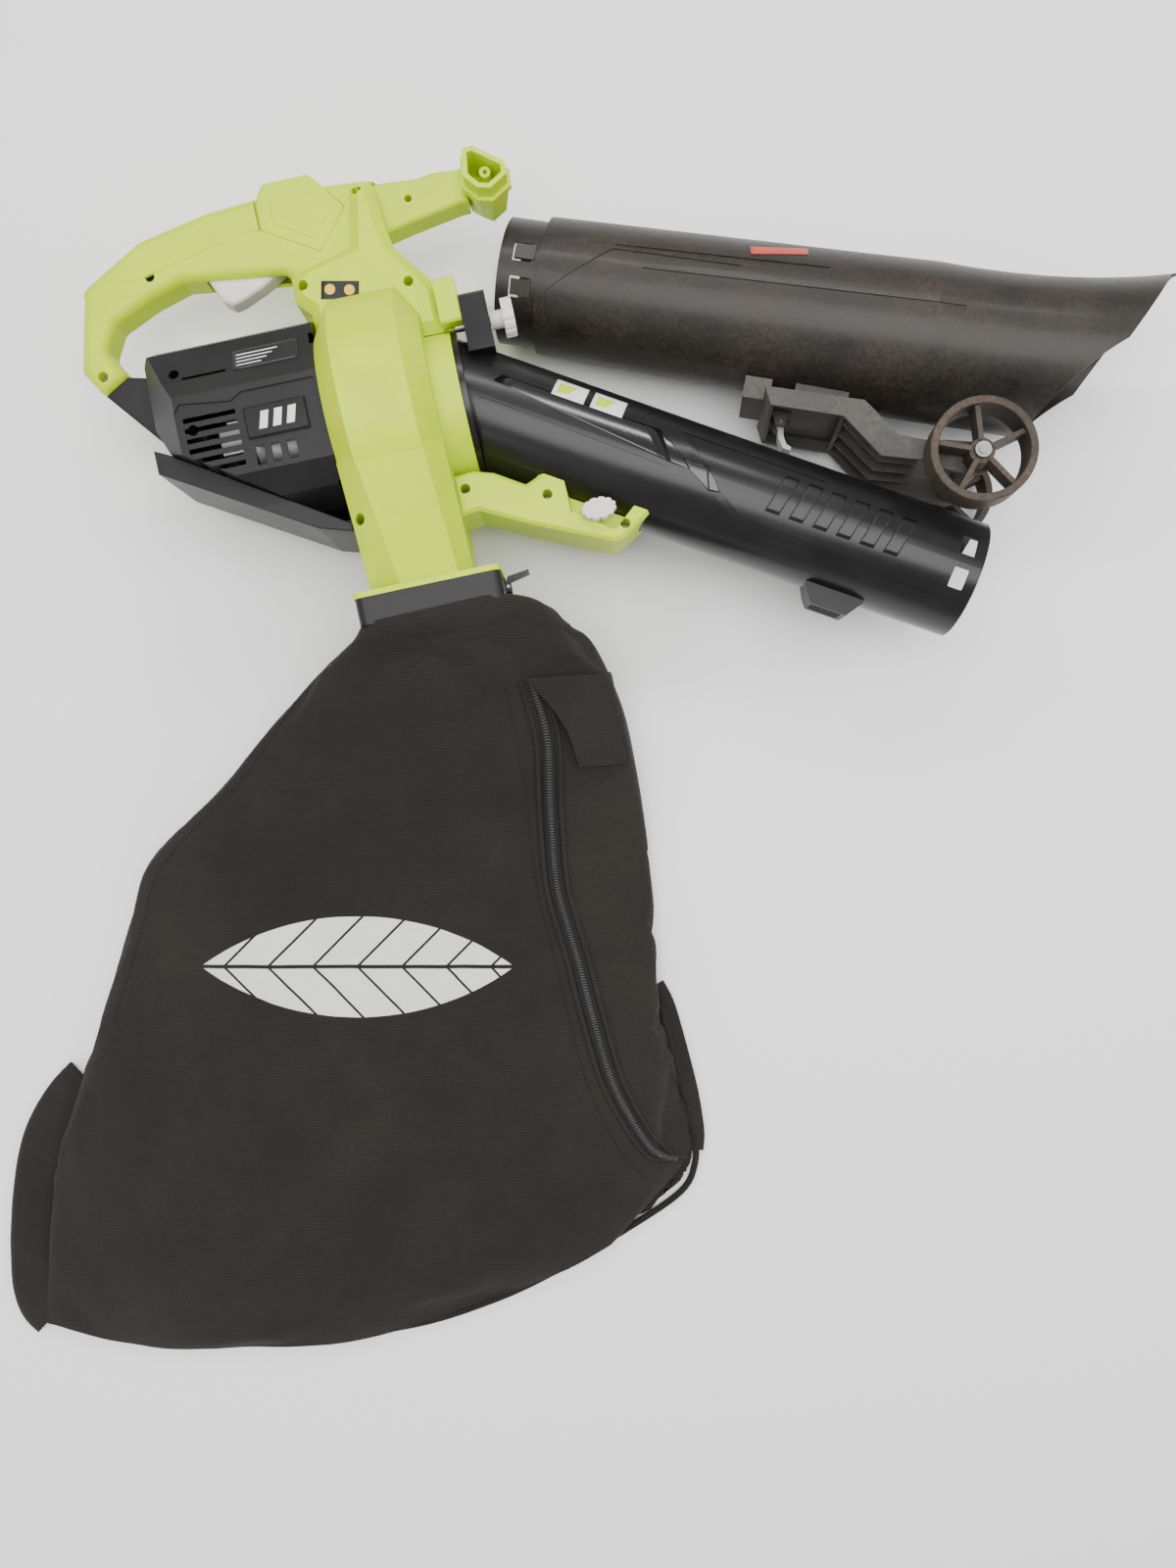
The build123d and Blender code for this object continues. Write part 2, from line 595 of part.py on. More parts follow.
def make_bag_collar():
    top = flange_y - flange_thickness - gap
    outer = extrude(frame_section(top, 130, 126, 8), top - collar_low_y, dir=(0, -1, 0))
    inner = extrude(frame_section(top + 1, 120, 116, 5), 40, dir=(0, -1, 0))
    ledge = extrude(frame_section(top - 14, 122, 118, 6), 3, dir=(0, -1, 0))
    ledge -= extrude(frame_section(top, 92, 104, 4), 40, dir=(0, -1, 0))
    ears = block((-0.5, 5), (top - 12, top - 3), (-13, -9)) + block((-0.5, 5), (top - 12, top - 3), (9, 13))
    tab = block((-136, -129.6), (collar_low_y + 1, top - 4), (-16, 16))
    body = outer - inner + ledge + ears + tab
    hinge = (3, top - 7.5)
    body -= rod((*hinge, -14), (*hinge, 14), 1.5)
    pieces["bag_collar"] = body
    pin = rod((*hinge, -13), (*hinge, 13), 1.5)
    pieces["latch_pin"] = pin
    lever = rod((*hinge, -8.5), (*hinge, 8.5), 2.7)
    lever += prism([(2.2, top - 9), (5.6, top - 9), (5.6, top - 1.5), (24, top + 2.6), (24, top + 5),
                    (4, top + 2.4), (2.2, top - 1)], -8.5, 8.5)
    pieces["bag_latch"] = lever - rod((*hinge, -9), (*hinge, 9), 1.5 + running)


bag_outline = [
    (-216, -231), (-300, -293), (-372, -328), (-413, -355), (-436, -396), (-488, -491), (-519, -540),
    (-560, -640), (-604, -783), (-490, -832), (-369, -854), (-251, -866), (-106, -842), (48, -785),
    (66, -750),
    (64, -680), (60, -579), (75, -473), (81, -354), (80, -297), (69, -246)]


def make_bag():
    table = floor + bag_thickness
    pad = prism(bag_outline, floor, table)
    pad = chamfer(pad.edges().group_by(Axis.Z)[-1], 14)

    def section(y, left, right, low, high):
        return section_at(y, [(left, low), (right, low), (right, high), (left, high)])

    shoulder = loft([section(-216, -185, 34, floor + 2, 34), section(-330, -340, 66, floor, table - 6)],
                    ruled=True)
    body = pad + shoulder
    pieces["bag_body"] = body
    cuff_top = section(collar_low_y - gap, -128, -2, -61, 61)
    cuff_end = section(-215.7, -170, 30, -108, 40)
    pieces["bag_cuff"] = loft([cuff_top, cuff_end], ruled=True)

    left_edge = [
        (-520, -541), (-533, -540), (-577, -577), (-626, -644), (-645, -735), (-606, -784), (-566, -660)]
    right_edge = [(61.5, -579), (66, -571), (73, -650), (78, -700), (76, -748), (67.5, -750), (65.5, -680)]
    pieces["bag_handle_left"] = prism(left_edge, floor, floor + strap_height) - body
    pieces["bag_handle_right"] = prism(right_edge, floor, floor + strap_height) - body

    zip_outline = [
        (0, -338), (17, -338), (-6, -452), (-2, -538), (4, -650), (32, -728), (20, -736), (-12, -655),
        (-19, -538), (-22, -452)]
    pieces["zip_tape"] = prism(zip_outline, table + 0.05, table + 1.6)
    path_top = table + 1.9
    slider = block((-4, 6), (-374, -360), (path_top, path_top + 4.5))
    slider = fillet(slider.edges().filter_by(Axis.Z), 2)
    pull = block((-2, 4), (-361, -330), (path_top + 2, path_top + 4))
    pieces["zip_slider"] = Pos(2, 0, 0) * (slider + pull)


# ---------------------------------------------------------------- lower tube

def loose(shape):
    """From the lower tube's own frame, with X along it, to the machine's frame."""
    place = Pos(loose_start[0], loose_start[1], loose_height)
    return place * Rot(0, 0, loose_angle) * Rot(0, -math.degrees(loose_tilt), 0) * shape


def oval(x, y, half_width, half_height):
    return Plane(origin=(x, y, 0), x_dir=(0, 1, 0), z_dir=(1, 0, 0)) * Ellipse(half_width, half_height)


def barrel_form(inset):
    start = coupling_length + inset
    stations = [(start, 0, loose_radius), (400, 0, 71), (480, 0, 71), (550, 3, 75), (612, 9, 83)]
    sections = [oval(x, y, r - inset, min(r, 74) - inset) for x, y, r in stations]
    cone = loft(sections[:2], ruled=True)
    flare = loft(sections[1:])
    return cone + flare


def make_lower_tube():
    outside = barrel_form(0) + rod((0, 0, 0), (coupling_length + 2, 0, 0), coupling_radius)
    socket = rod((-1, 0, 0), (coupling_length + 4, 0, 0), socket_radius)
    inside = barrel_form(tube_wall) + socket
    solid = outside - inside
    # scooped mouth: the side away from the wheels runs on furthest
    scoop = Pos(720, -190, 0) * Cylinder(246, 400) + block((560, 900), (-300, -60), (-100, 100))
    scoop += prism([(606, 86), (560, -10), (520, -50), (500, -90), (900, -90), (900, 86)], -100, 100)
    solid -= scoop
    zigzag = [(48, -26), (104, 19), (220, 19), (220, 13), (136, 8), (84, -42), (48, -42)]
    groove = [(134, 4), (424, 10), (424, 7), (136, 0)]
    ridge = [(104, 24), (300, 30), (300, 27.5), (106, 21)]
    for outline in (zigzag, groove, ridge):
        solid -= prism(outline, 20, 100) & (barrel_form(-4) - barrel_form(0.9))
    tabs = Part()
    for angle in tab_angles:
        solid -= both_sides(Rot(angle, 0, 0) * block((12, 33), (-9, 9), (40, 70)))
        tab = block((14, 33), (-7, 7), (socket_radius + 0.6, coupling_radius + 1.2))
        tab += block((30, 33), (-9, 9), (socket_radius + 0.6, coupling_radius - 0.4))
        tabs += both_sides(Rot(angle, 0, 0) * tab)
    pieces["lower_tube"] = loose(solid)
    pieces["snap_tabs"] = loose(tabs)


bracket_top = [(262, -83), (270, -99), (336, -99), (375, -129), (411, -127), (430, -132), (457, -134),
               (468, -130), (472, -119), (468, -108), (457, -104), (430, -106), (412, -109), (387, -108),
               (352, -82)]
bracket_walls = [
    [(264, -84), (267, -89), (346, -88), (384, -115), (412, -116), (412, -111), (386, -110), (350, -82.5)],
    [(262.5, -84), (270, -98), (273, -98), (267, -84)],
    [(334, -98), (338, -98), (350, -84), (346, -84)]]
bracket_rib = [(336, -96), (346, -86), (388, -112), (412, -114), (411, -124), (376, -126)]
bracket_half = 54.0
plate_thickness = 4.0


def make_bracket():
    solid = both_sides(prism(bracket_top, bracket_half, bracket_half + plate_thickness))
    for points in bracket_walls:
        solid += prism(points, -bracket_half - 1, bracket_half + 1)
    for z in (-30, 0, 30):
        solid += prism(bracket_rib, z - 1.5, z + 1.5)
    rail = block((243, 268), (-86, -66), (-30, 30)) - block((246, 267), (-80, -69), (-27, 27))
    saddle = block((290, 340), (-86, -64), (-24, 24))
    solid += rail + saddle
    solid -= barrel_form(-0.05)
    hub_end = bracket_half + plate_thickness
    solid += rod((axle_x, axle_y, -hub_end), (axle_x, axle_y, hub_end), 10)
    solid += prism([(411, -127), (411, -111), (452, -111), (452, -127)], -2, 2)
    solid -= rod((axle_x, axle_y, -80), (axle_x, axle_y, 80), axle_radius + 0.02)
    solid -= rod((283, -104, -12), (283, -104, 12), 4)
    solid -= block((276, 290), (-101, -80), (-9, 9))
    ear = [(270, -86), (292, -86), (287, -102), (279, -102)]
    solid += prism(ear, -14, -9.2) + prism(ear, 9.2, 14)
    solid -= rod((283, -98, -20), (283, -98, 20), 1.5)
    pieces["wheel_bracket"] = loose(solid)

    pin = rod((283, -98, -13.8), (283, -98, 13.8), 1.5)
    pieces["hook_pin"] = loose(pin)
    hook = rod((283, -98, -8.6), (283, -98, 8.6), 3.2)
    claw = [
        (280.5, -98), (285.5, -98), (288, -110), (292, -117), (297, -119), (296, -122), (289, -121),
        (283, -112)]
    hook += prism(claw, -8.6, 8.6)
    pieces["bracket_hook"] = loose(hook - rod((283, -98, -9), (283, -98, 9), 1.5 + running))


def make_wheels():
    hub_end = wheel_inner + hub_width
    axle = rod((axle_x, axle_y, -hub_end - 6), (axle_x, axle_y, hub_end + 6), axle_radius)
    pieces["axle"] = loose(axle)
    rim = pipe((0, 0, 0), (0, 0, wheel_width), wheel_radius, wheel_radius - 7)
    rim = fillet(rim.edges().group_by(Axis.Z)[-1] + rim.edges().group_by(Axis.Z)[0], 1.5)
    hub = pipe((0, 0, 0), (0, 0, hub_width), 11, axle_radius + running)
    wheel = rim + hub
    for index in range(spoke_count):
        angle = 35 + 360 / spoke_count * index
        wheel += Rot(0, 0, angle) * block((9, wheel_radius - 6), (-2.2, 2.2), (5, wheel_width - 6))
    near = Pos(axle_x, axle_y, wheel_inner) * wheel
    pieces["wheel_near"] = loose(near)
    pieces["wheel_far"] = loose(mirror(near, about=Plane.XY))
    cap = rod((axle_x, axle_y, hub_end + 0.3), (axle_x, axle_y, hub_end + 4.5), 7)
    pieces["axle_caps"] = loose(both_sides(cap) - axle)


# ---------------------------------------------------------------- the whole machine

make_volute()
make_handle()
make_front_handle()
make_trigger()
make_switches()
make_motor_covers()
make_power_inlet()
make_motor()
make_impeller()
make_upper_tube()
make_tube_knob()
make_arm()
make_bag_collar()
make_bag()
make_lower_tube()
make_bracket()
make_wheels()

# the origin goes to the floor under the middle of the whole machine
box = Compound([solid for shape in pieces.values() for solid in shape.solids()]).bounding_box()
middle = box.center()
to_origin = Pos(-middle.X, -middle.Y, -floor)
os.makedirs("parts", exist_ok=True)
for name, shape in pieces.items():
    export_step(Compound((to_origin * shape).solids()), f"parts/{name}.step")
print(len(pieces), "nodes; lowest point", round(box.min.Z - floor, 3))
print("moved by", [round(value, 4) for value in (-middle.X, -middle.Y, -floor)])
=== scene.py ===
import json
import math

import bmesh
import bpy
from mathutils import Matrix, Vector, noise
from mathutils.bvhtree import BVHTree


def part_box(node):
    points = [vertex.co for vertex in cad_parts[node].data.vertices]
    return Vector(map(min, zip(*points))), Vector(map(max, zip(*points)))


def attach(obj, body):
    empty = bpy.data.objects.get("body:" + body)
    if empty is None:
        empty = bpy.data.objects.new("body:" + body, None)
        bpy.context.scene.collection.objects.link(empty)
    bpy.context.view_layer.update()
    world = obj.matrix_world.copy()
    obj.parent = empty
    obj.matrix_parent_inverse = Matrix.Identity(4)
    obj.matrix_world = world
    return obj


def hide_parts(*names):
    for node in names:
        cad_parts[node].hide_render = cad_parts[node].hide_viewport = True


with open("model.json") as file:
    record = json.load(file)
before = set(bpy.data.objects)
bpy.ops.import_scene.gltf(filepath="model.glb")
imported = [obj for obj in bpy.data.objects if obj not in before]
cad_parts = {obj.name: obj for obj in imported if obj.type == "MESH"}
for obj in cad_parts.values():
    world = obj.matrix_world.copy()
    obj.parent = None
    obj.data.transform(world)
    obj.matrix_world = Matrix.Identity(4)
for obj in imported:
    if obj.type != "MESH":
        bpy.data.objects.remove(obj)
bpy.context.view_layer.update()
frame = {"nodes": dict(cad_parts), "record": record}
nodes = frame["nodes"]
scene = bpy.context.scene

# home is the middle of the inlet's face, and distances from it are in millimetres
shellLow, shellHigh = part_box("volute_left_shell")
home = Vector((shellHigh[0] - 0.001, shellLow[1] + 0.165, shellLow[2]))
floorLevel = -112.0


def spot(x, y, z):
    return home + Vector((x, y, z)) * 0.001


# camera first, straight above the machine
cameraView = {"foot": (36.6, -364.8), "height": 1.2, "lens": 27.0, "turn": -12.0}
cameraData = bpy.data.cameras.new("camera")
cameraData.lens = cameraView["lens"]
cameraData.sensor_width = 36.0
cameraObject = bpy.data.objects.new("camera", cameraData)
scene.collection.objects.link(cameraObject)
cameraObject.location = spot(*cameraView["foot"], floorLevel) + Vector((0, 0, cameraView["height"]))
cameraObject.rotation_euler = (0, 0, math.radians(cameraView["turn"]))
scene.camera = cameraObject


# ---- shader groups

def startGroup(name, inputs, outputs):
    tree = bpy.data.node_groups.new(name, "ShaderNodeTree")
    for label, value in inputs.items():
        socket = tree.interface.new_socket(label, in_out="INPUT", socket_type="NodeSocketFloat")
        socket.default_value = value
    for label in outputs:
        tree.interface.new_socket(label, in_out="OUTPUT", socket_type="NodeSocketFloat")
    return tree, tree.nodes.new("NodeGroupInput"), tree.nodes.new("NodeGroupOutput")


def addNode(tree, kind, links=None, **values):
    # values set the node's own settings, links its inputs by name or number
    node = tree.nodes.new(kind)
    for key, value in values.items():
        setattr(node, key, value)
    for key, value in (links or {}).items():
        if isinstance(value, bpy.types.NodeSocket):
            tree.links.new(value, node.inputs[key])
        else:
            node.inputs[key].default_value = value
    return node


def maths(tree, operation, first, second=0.0, clamp=False):
    node = addNode(tree, "ShaderNodeMath", {0: first, 1: second}, operation=operation, use_clamp=clamp)
    return node.outputs[0]


def ramp(tree, value, low, high):
    node = addNode(tree, "ShaderNodeMapRange", {"Value": value, "From Min": low, "From Max": high})
    return node.outputs[0]


def objectPoint(tree):
    return tree.nodes.new("ShaderNodeTexCoord").outputs["Object"]


def makeGrainGroup():
    tree, inside, outside = startGroup("mouldedGrain", {"Scale": 900.0}, ["Height", "Tone"])
    point = objectPoint(tree)
    fine = addNode(tree, "ShaderNodeTexNoise",
                   {"Vector": point, "Scale": inside.outputs["Scale"], "Detail": 2.0})
    broad = addNode(tree, "ShaderNodeTexNoise",
                    {"Vector": point, "Scale": 14.0, "Detail": 4.0, "Roughness": 0.6})
    tree.links.new(fine.outputs[0], outside.inputs["Height"])
    tree.links.new(ramp(tree, broad.outputs[0], 0.35, 0.68), outside.inputs["Tone"])
    return tree


def makeDustGroup():
    tree, inside, outside = startGroup("dustFilm", {"Scale": 9.0, "Cover": 0.5}, ["Mask"])
    point = objectPoint(tree)
    cloud = addNode(tree, "ShaderNodeTexNoise",
                    {"Vector": point, "Scale": inside.outputs["Scale"], "Detail": 7.0, "Roughness": 0.7})
    speck = addNode(tree, "ShaderNodeTexNoise",
                    {"Vector": point, "Scale": 260.0, "Detail": 3.0, "Roughness": 0.8})
    edge = maths(tree, "SUBTRACT", 1.0, inside.outputs["Cover"])
    cloudMask = ramp(tree, maths(tree, "SUBTRACT", cloud.outputs[0], maths(tree, "MULTIPLY", edge, 0.5)),
                     0.12, 0.5)
    mask = maths(tree, "MULTIPLY", cloudMask, ramp(tree, speck.outputs[0], 0.3, 0.7), True)
    tree.links.new(mask, outside.inputs["Mask"])
    return tree


def makeScuffGroup():
    tree, inside, outside = startGroup("scuffLines", {"Scale": 6.0}, ["Mask"])
    point = objectPoint(tree)
    total = None
    for turn, stretch in ((0.5, 30.0), (2.1, 22.0)):
        lean = addNode(tree, "ShaderNodeMapping",
                       {"Vector": point, "Rotation": (0, 0, turn), "Scale": (1, stretch, 9)})
        line = addNode(tree, "ShaderNodeTexNoise",
                       {"Vector": lean.outputs[0], "Scale": inside.outputs["Scale"], "Detail": 4.0,
                        "Roughness": 0.75})
        thin = ramp(tree, line.outputs[0], 0.66, 0.72)
        total = thin if total is None else maths(tree, "MAXIMUM", total, thin)
    tree.links.new(total, outside.inputs["Mask"])
    return tree


def makeWeaveGroup():
    # ribs run across the bag, crossed by finer warp threads
    tree, inside, outside = startGroup("ribbedWeave", {"Pitch": 1.5, "Turn": 0.0}, ["Height", "Tone"])
    turn = addNode(tree, "ShaderNodeCombineXYZ", {"Z": inside.outputs["Turn"]})
    lean = addNode(tree, "ShaderNodeMapping", {"Vector": objectPoint(tree), "Rotation": turn.outputs[0]})
    wobble = addNode(tree, "ShaderNodeTexNoise", {"Vector": lean.outputs[0], "Scale": 60.0, "Detail": 2.0})
    split = addNode(tree, "ShaderNodeSeparateXYZ", {0: lean.outputs[0]})
    waves = []
    for axis, share in (("Y", 1.0), ("X", 1.7)):
        pushed = maths(tree, "ADD", split.outputs[axis], maths(tree, "MULTIPLY", wobble.outputs[0], 0.004))
        count = maths(tree, "DIVIDE", 6283.2 * share, inside.outputs["Pitch"])
        waves.append(maths(tree, "SINE", maths(tree, "MULTIPLY", pushed, count)))
    height = maths(tree, "ADD", waves[0], maths(tree, "MULTIPLY", waves[1], 0.35))
    tree.links.new(ramp(tree, height, -1.35, 1.35), outside.inputs["Height"])
    tone = addNode(tree, "ShaderNodeTexNoise",
                   {"Vector": lean.outputs[0], "Scale": 11.0, "Detail": 6.0, "Roughness": 0.65})
    tree.links.new(ramp(tree, tone.outputs[0], 0.3, 0.7), outside.inputs["Tone"])
    return tree


grainGroup = makeGrainGroup()
dustGroup = makeDustGroup()
scuffGroup = makeScuffGroup()
weaveGroup = makeWeaveGroup()


def useGroup(tree, group, **values):
    node = tree.nodes.new("ShaderNodeGroup")
    node.node_tree = group
    for key, value in values.items():
        node.inputs[key].default_value = value
    return node


def mixColour(tree, factor, first, second, blend="MIX"):
    node = tree.nodes.new("ShaderNodeMix")
    node.data_type = "RGBA"
    node.blend_type = blend
    for index, value in ((0, factor), (6, first), (7, second)):
        if isinstance(value, bpy.types.NodeSocket):
            tree.links.new(value, node.inputs[index])
        else:
            node.inputs[index].default_value = value if index == 0 else (*value, 1.0)
    return node.outputs[2]


def startMaterial(name):
    material = bpy.data.materials.new(name)
    material.use_nodes = True
    return material, material.node_tree, material.node_tree.nodes["Principled BSDF"]


# ---- materials

mouldedFinishes = {
    "lime": {"colour": (0.56, 0.73, 0.0), "shade": (0.50, 0.66, 0.0), "rough": 0.40, "grain": 1400.0,
             "bump": 0.06, "dust": 0.07, "dirt": (0.30, 0.32, 0.02), "scuff": 0.08, "coat": 0.0},
    "black_tube": {"colour": (0.006, 0.006, 0.0065), "shade": (0.010, 0.010, 0.0105), "rough": 0.27,
                   "grain": 1500.0,
                   "bump": 0.05, "dust": 0.12, "dirt": (0.06, 0.055, 0.05), "scuff": 0.22, "coat": 0.12},
    "dusty_tube": {"colour": (0.008, 0.008, 0.008), "shade": (0.015, 0.014, 0.013), "rough": 0.36,
                   "grain": 1200.0,
                   "bump": 0.08, "dust": 0.60, "dirt": (0.062, 0.047, 0.032), "scuff": 0.40, "coat": 0.08},
    "stone_white": {"colour": (0.74, 0.71, 0.66), "shade": (0.66, 0.62, 0.56), "rough": 0.42, "grain": 1100.0,
                    "bump": 0.06, "dust": 0.20, "dirt": (0.42, 0.38, 0.32), "scuff": 0.12, "coat": 0.0},
    "black_body": {"colour": (0.008, 0.008, 0.0085), "shade": (0.013, 0.013, 0.0135), "rough": 0.42,
                   "grain": 1700.0,
                   "bump": 0.12, "dust": 0.20, "dirt": (0.09, 0.08, 0.07), "scuff": 0.16, "coat": 0.0},
    "dusty_bracket": {"colour": (0.03, 0.03, 0.03), "shade": (0.05, 0.048, 0.045), "rough": 0.5,
                      "grain": 1300.0,
                      "bump": 0.12, "dust": 0.55, "dirt": (0.15, 0.13, 0.11), "scuff": 0.2, "coat": 0.0},
    "black_switch": {"colour": (0.007, 0.007, 0.0075), "shade": (0.011, 0.011, 0.0115), "rough": 0.36,
                     "grain": 1500.0,
                     "bump": 0.06, "dust": 0.15, "dirt": (0.08, 0.07, 0.06), "scuff": 0.12, "coat": 0.0},
    "badge": {"colour": (0.01, 0.01, 0.011), "shade": (0.014, 0.014, 0.015), "rough": 0.22, "grain": 1500.0,
              "bump": 0.03, "dust": 0.08, "dirt": (0.1, 0.1, 0.1), "scuff": 0.1, "coat": 0.3},
    "gloss_inlay": {"colour": (0.006, 0.006, 0.007), "shade": (0.008, 0.008, 0.009), "rough": 0.14,
                    "grain": 1500.0,
                    "bump": 0.01, "dust": 0.1, "dirt": (0.06, 0.06, 0.06), "scuff": 0.3, "coat": 0.7},
    "carbon": {"colour": (0.02, 0.02, 0.02), "shade": (0.035, 0.035, 0.035), "rough": 0.6, "grain": 1900.0,
               "bump": 0.2, "dust": 0.1, "dirt": (0.05, 0.05, 0.05), "scuff": 0.0, "coat": 0.0},
    "wheel_tyre": {"colour": (0.014, 0.013, 0.012), "shade": (0.03, 0.026, 0.022), "rough": 0.5,
                   "grain": 900.0,
                   "bump": 0.25, "dust": 0.75, "dirt": (0.12, 0.083, 0.055), "scuff": 0.2, "coat": 0.0},
    "zip_metal": {"colour": (0.03, 0.03, 0.031), "shade": (0.05, 0.05, 0.05), "rough": 0.35, "grain": 1500.0,
                  "bump": 0.05, "dust": 0.3, "dirt": (0.1, 0.09, 0.08), "scuff": 0.3, "coat": 0.2},
    "label_black": {"colour": (0.016, 0.016, 0.017), "shade": (0.022, 0.022, 0.023), "rough": 0.3,
                    "grain": 900.0,
                    "bump": 0.02, "dust": 0.1, "dirt": (0.1, 0.1, 0.1), "scuff": 0.1, "coat": 0.1},
    "label_white": {"colour": (0.78, 0.78, 0.76), "shade": (0.70, 0.70, 0.68), "rough": 0.35, "grain": 900.0,
                    "bump": 0.02, "dust": 0.15, "dirt": (0.4, 0.38, 0.34), "scuff": 0.1, "coat": 0.1},
    "label_yellow": {"colour": (0.85, 0.52, 0.02), "shade": (0.78, 0.46, 0.02), "rough": 0.35, "grain": 900.0,
                     "bump": 0.02, "dust": 0.1, "dirt": (0.4, 0.3, 0.1), "scuff": 0.1, "coat": 0.1},
    "label_red": {"colour": (0.62, 0.06, 0.03), "shade": (0.5, 0.05, 0.03), "rough": 0.4, "grain": 900.0,
                  "bump": 0.02, "dust": 0.3, "dirt": (0.2, 0.1, 0.08), "scuff": 0.3, "coat": 0.1},
}


def makeMoulded(name, look, metal=0.0):
    material, tree, shader = startMaterial(name)
    grain = useGroup(tree, grainGroup, Scale=look["grain"])
    dust = useGroup(tree, dustGroup, Cover=look["dust"])
    scuff = useGroup(tree, scuffGroup)
    colour = mixColour(tree, grain.outputs["Tone"], look["colour"], look["shade"])
    rubbed = tuple(min(1.0, channel * 1.6 + 0.02) for channel in look["shade"])
    scuffed = maths(tree, "MULTIPLY", scuff.outputs[0], look["scuff"])
    colour = mixColour(tree, scuffed, colour, rubbed)
    dusty = maths(tree, "MULTIPLY", dust.outputs[0], min(1.0, look["dust"] * 1.5))
    colour = mixColour(tree, dusty, colour, look["dirt"])
    tree.links.new(colour, shader.inputs["Base Color"])
    rough = maths(tree, "ADD", look["rough"], maths(tree, "MULTIPLY", grain.outputs["Tone"], 0.06))
    rough = maths(tree, "ADD", rough, maths(tree, "MULTIPLY", dusty, 0.35))
    rough = maths(tree, "ADD", rough, maths(tree, "MULTIPLY", scuffed, 0.25), True)
    tree.links.new(rough, shader.inputs["Roughness"])
    bump = addNode(tree, "ShaderNodeBump",
                   {"Height": grain.outputs["Height"], "Strength": look["bump"], "Distance": 0.0004})
    tree.links.new(bump.outputs[0], shader.inputs["Normal"])
    shader.inputs["Metallic"].default_value = metal
    shader.inputs["Coat Weight"].default_value = look["coat"]
    shader.inputs["Coat Roughness"].default_value = 0.18
    if not metal:
        shader.inputs["Specular IOR Level"].default_value = 0.3
    return material


metalFinishes = {
    "screw_steel": {"colour": (0.34, 0.34, 0.35), "shade": (0.22, 0.21, 0.2), "rough": 0.34},
    "laminations": {"colour": (0.25, 0.25, 0.26), "shade": (0.16, 0.16, 0.17), "rough": 0.42},
    "motor_steel": {"colour": (0.42, 0.42, 0.43), "shade": (0.3, 0.3, 0.31), "rough": 0.38},
    "brass": {"colour": (0.72, 0.5, 0.18), "shade": (0.55, 0.37, 0.13), "rough": 0.28},
    "copper": {"colour": (0.72, 0.33, 0.18), "shade": (0.5, 0.22, 0.12), "rough": 0.3},
}

clothFinishes = {
    "bag_fabric": {"colour": (0.012, 0.0108, 0.009), "shade": (0.027, 0.024, 0.0195), "pitch": 2.1,
                   "turn": 12.0,
                   "bump": 0.55, "lint": 0.38},
    "bag_binding": {"colour": (0.009, 0.0082, 0.007), "shade": (0.019, 0.017, 0.014), "pitch": 1.3,
                    "turn": 50.0,
                    "bump": 0.5, "lint": 0.35},
    "zip": {"colour": (0.010, 0.010, 0.010), "shade": (0.02, 0.019, 0.018), "pitch": 0.9, "turn": 0.0,
            "bump": 0.4, "lint": 0.2},
}

# a plain leaf in place of the maker's print: its middle, half length and half width in millimetres
printMark = {"middle": (-224.0, -494.0), "turn": 12.0, "halfLength": 155.0, "halfWidth": 50.0, "rib": 3.2,
             "ink": (0.72, 0.72, 0.70)}


def addLeafMask(tree):
    # a leaf is where two circles overlap; the midrib and side veins are left bare
    half, width = printMark["halfLength"] * 0.001, printMark["halfWidth"] * 0.001
    radius = (half * half + width * width) / (2 * width)
    middle = spot(*printMark["middle"], 0)
    centre = addNode(tree, "ShaderNodeMapping",
                     {"Vector": objectPoint(tree), "Location": tuple(-middle), "Rotation": (0, 0, 0)})
    lean = addNode(tree, "ShaderNodeMapping",
                   {"Vector": centre.outputs[0], "Rotation": (0, 0, math.radians(printMark["turn"]))})
    split = addNode(tree, "ShaderNodeSeparateXYZ", {0: lean.outputs[0]})
    along, sideways = split.outputs["X"], split.outputs["Y"]
    inside = None
    for sign in (1, -1):
        offset = maths(tree, "ADD", sideways, sign * (radius - width))
        reach = maths(tree, "SQRT", maths(tree, "ADD", maths(tree, "POWER", along, 2.0),
                                          maths(tree, "POWER", offset, 2.0)))
        part = ramp(tree, reach, radius + 0.0003, radius - 0.0003)
        inside = part if inside is None else maths(tree, "MULTIPLY", inside, part)
    rib = ramp(tree, maths(tree, "ABSOLUTE", sideways), printMark["rib"] * 0.0005, printMark["rib"] * 0.0007)
    slanted = maths(tree, "SUBTRACT", along, maths(tree, "ABSOLUTE", sideways))
    stripe = maths(tree, "ABSOLUTE", maths(tree, "SINE", maths(tree, "MULTIPLY", slanted, math.pi / 0.044)))
    veins = ramp(tree, stripe, 0.10, 0.14)
    mask = maths(tree, "MULTIPLY", maths(tree, "MULTIPLY", inside, rib), veins)
    up = addNode(tree, "ShaderNodeSeparateXYZ",
                 {0: tree.nodes.new("ShaderNodeNewGeometry").outputs["Normal"]})
    return maths(tree, "MULTIPLY", mask, ramp(tree, up.outputs["Z"], 0.2, 0.4))


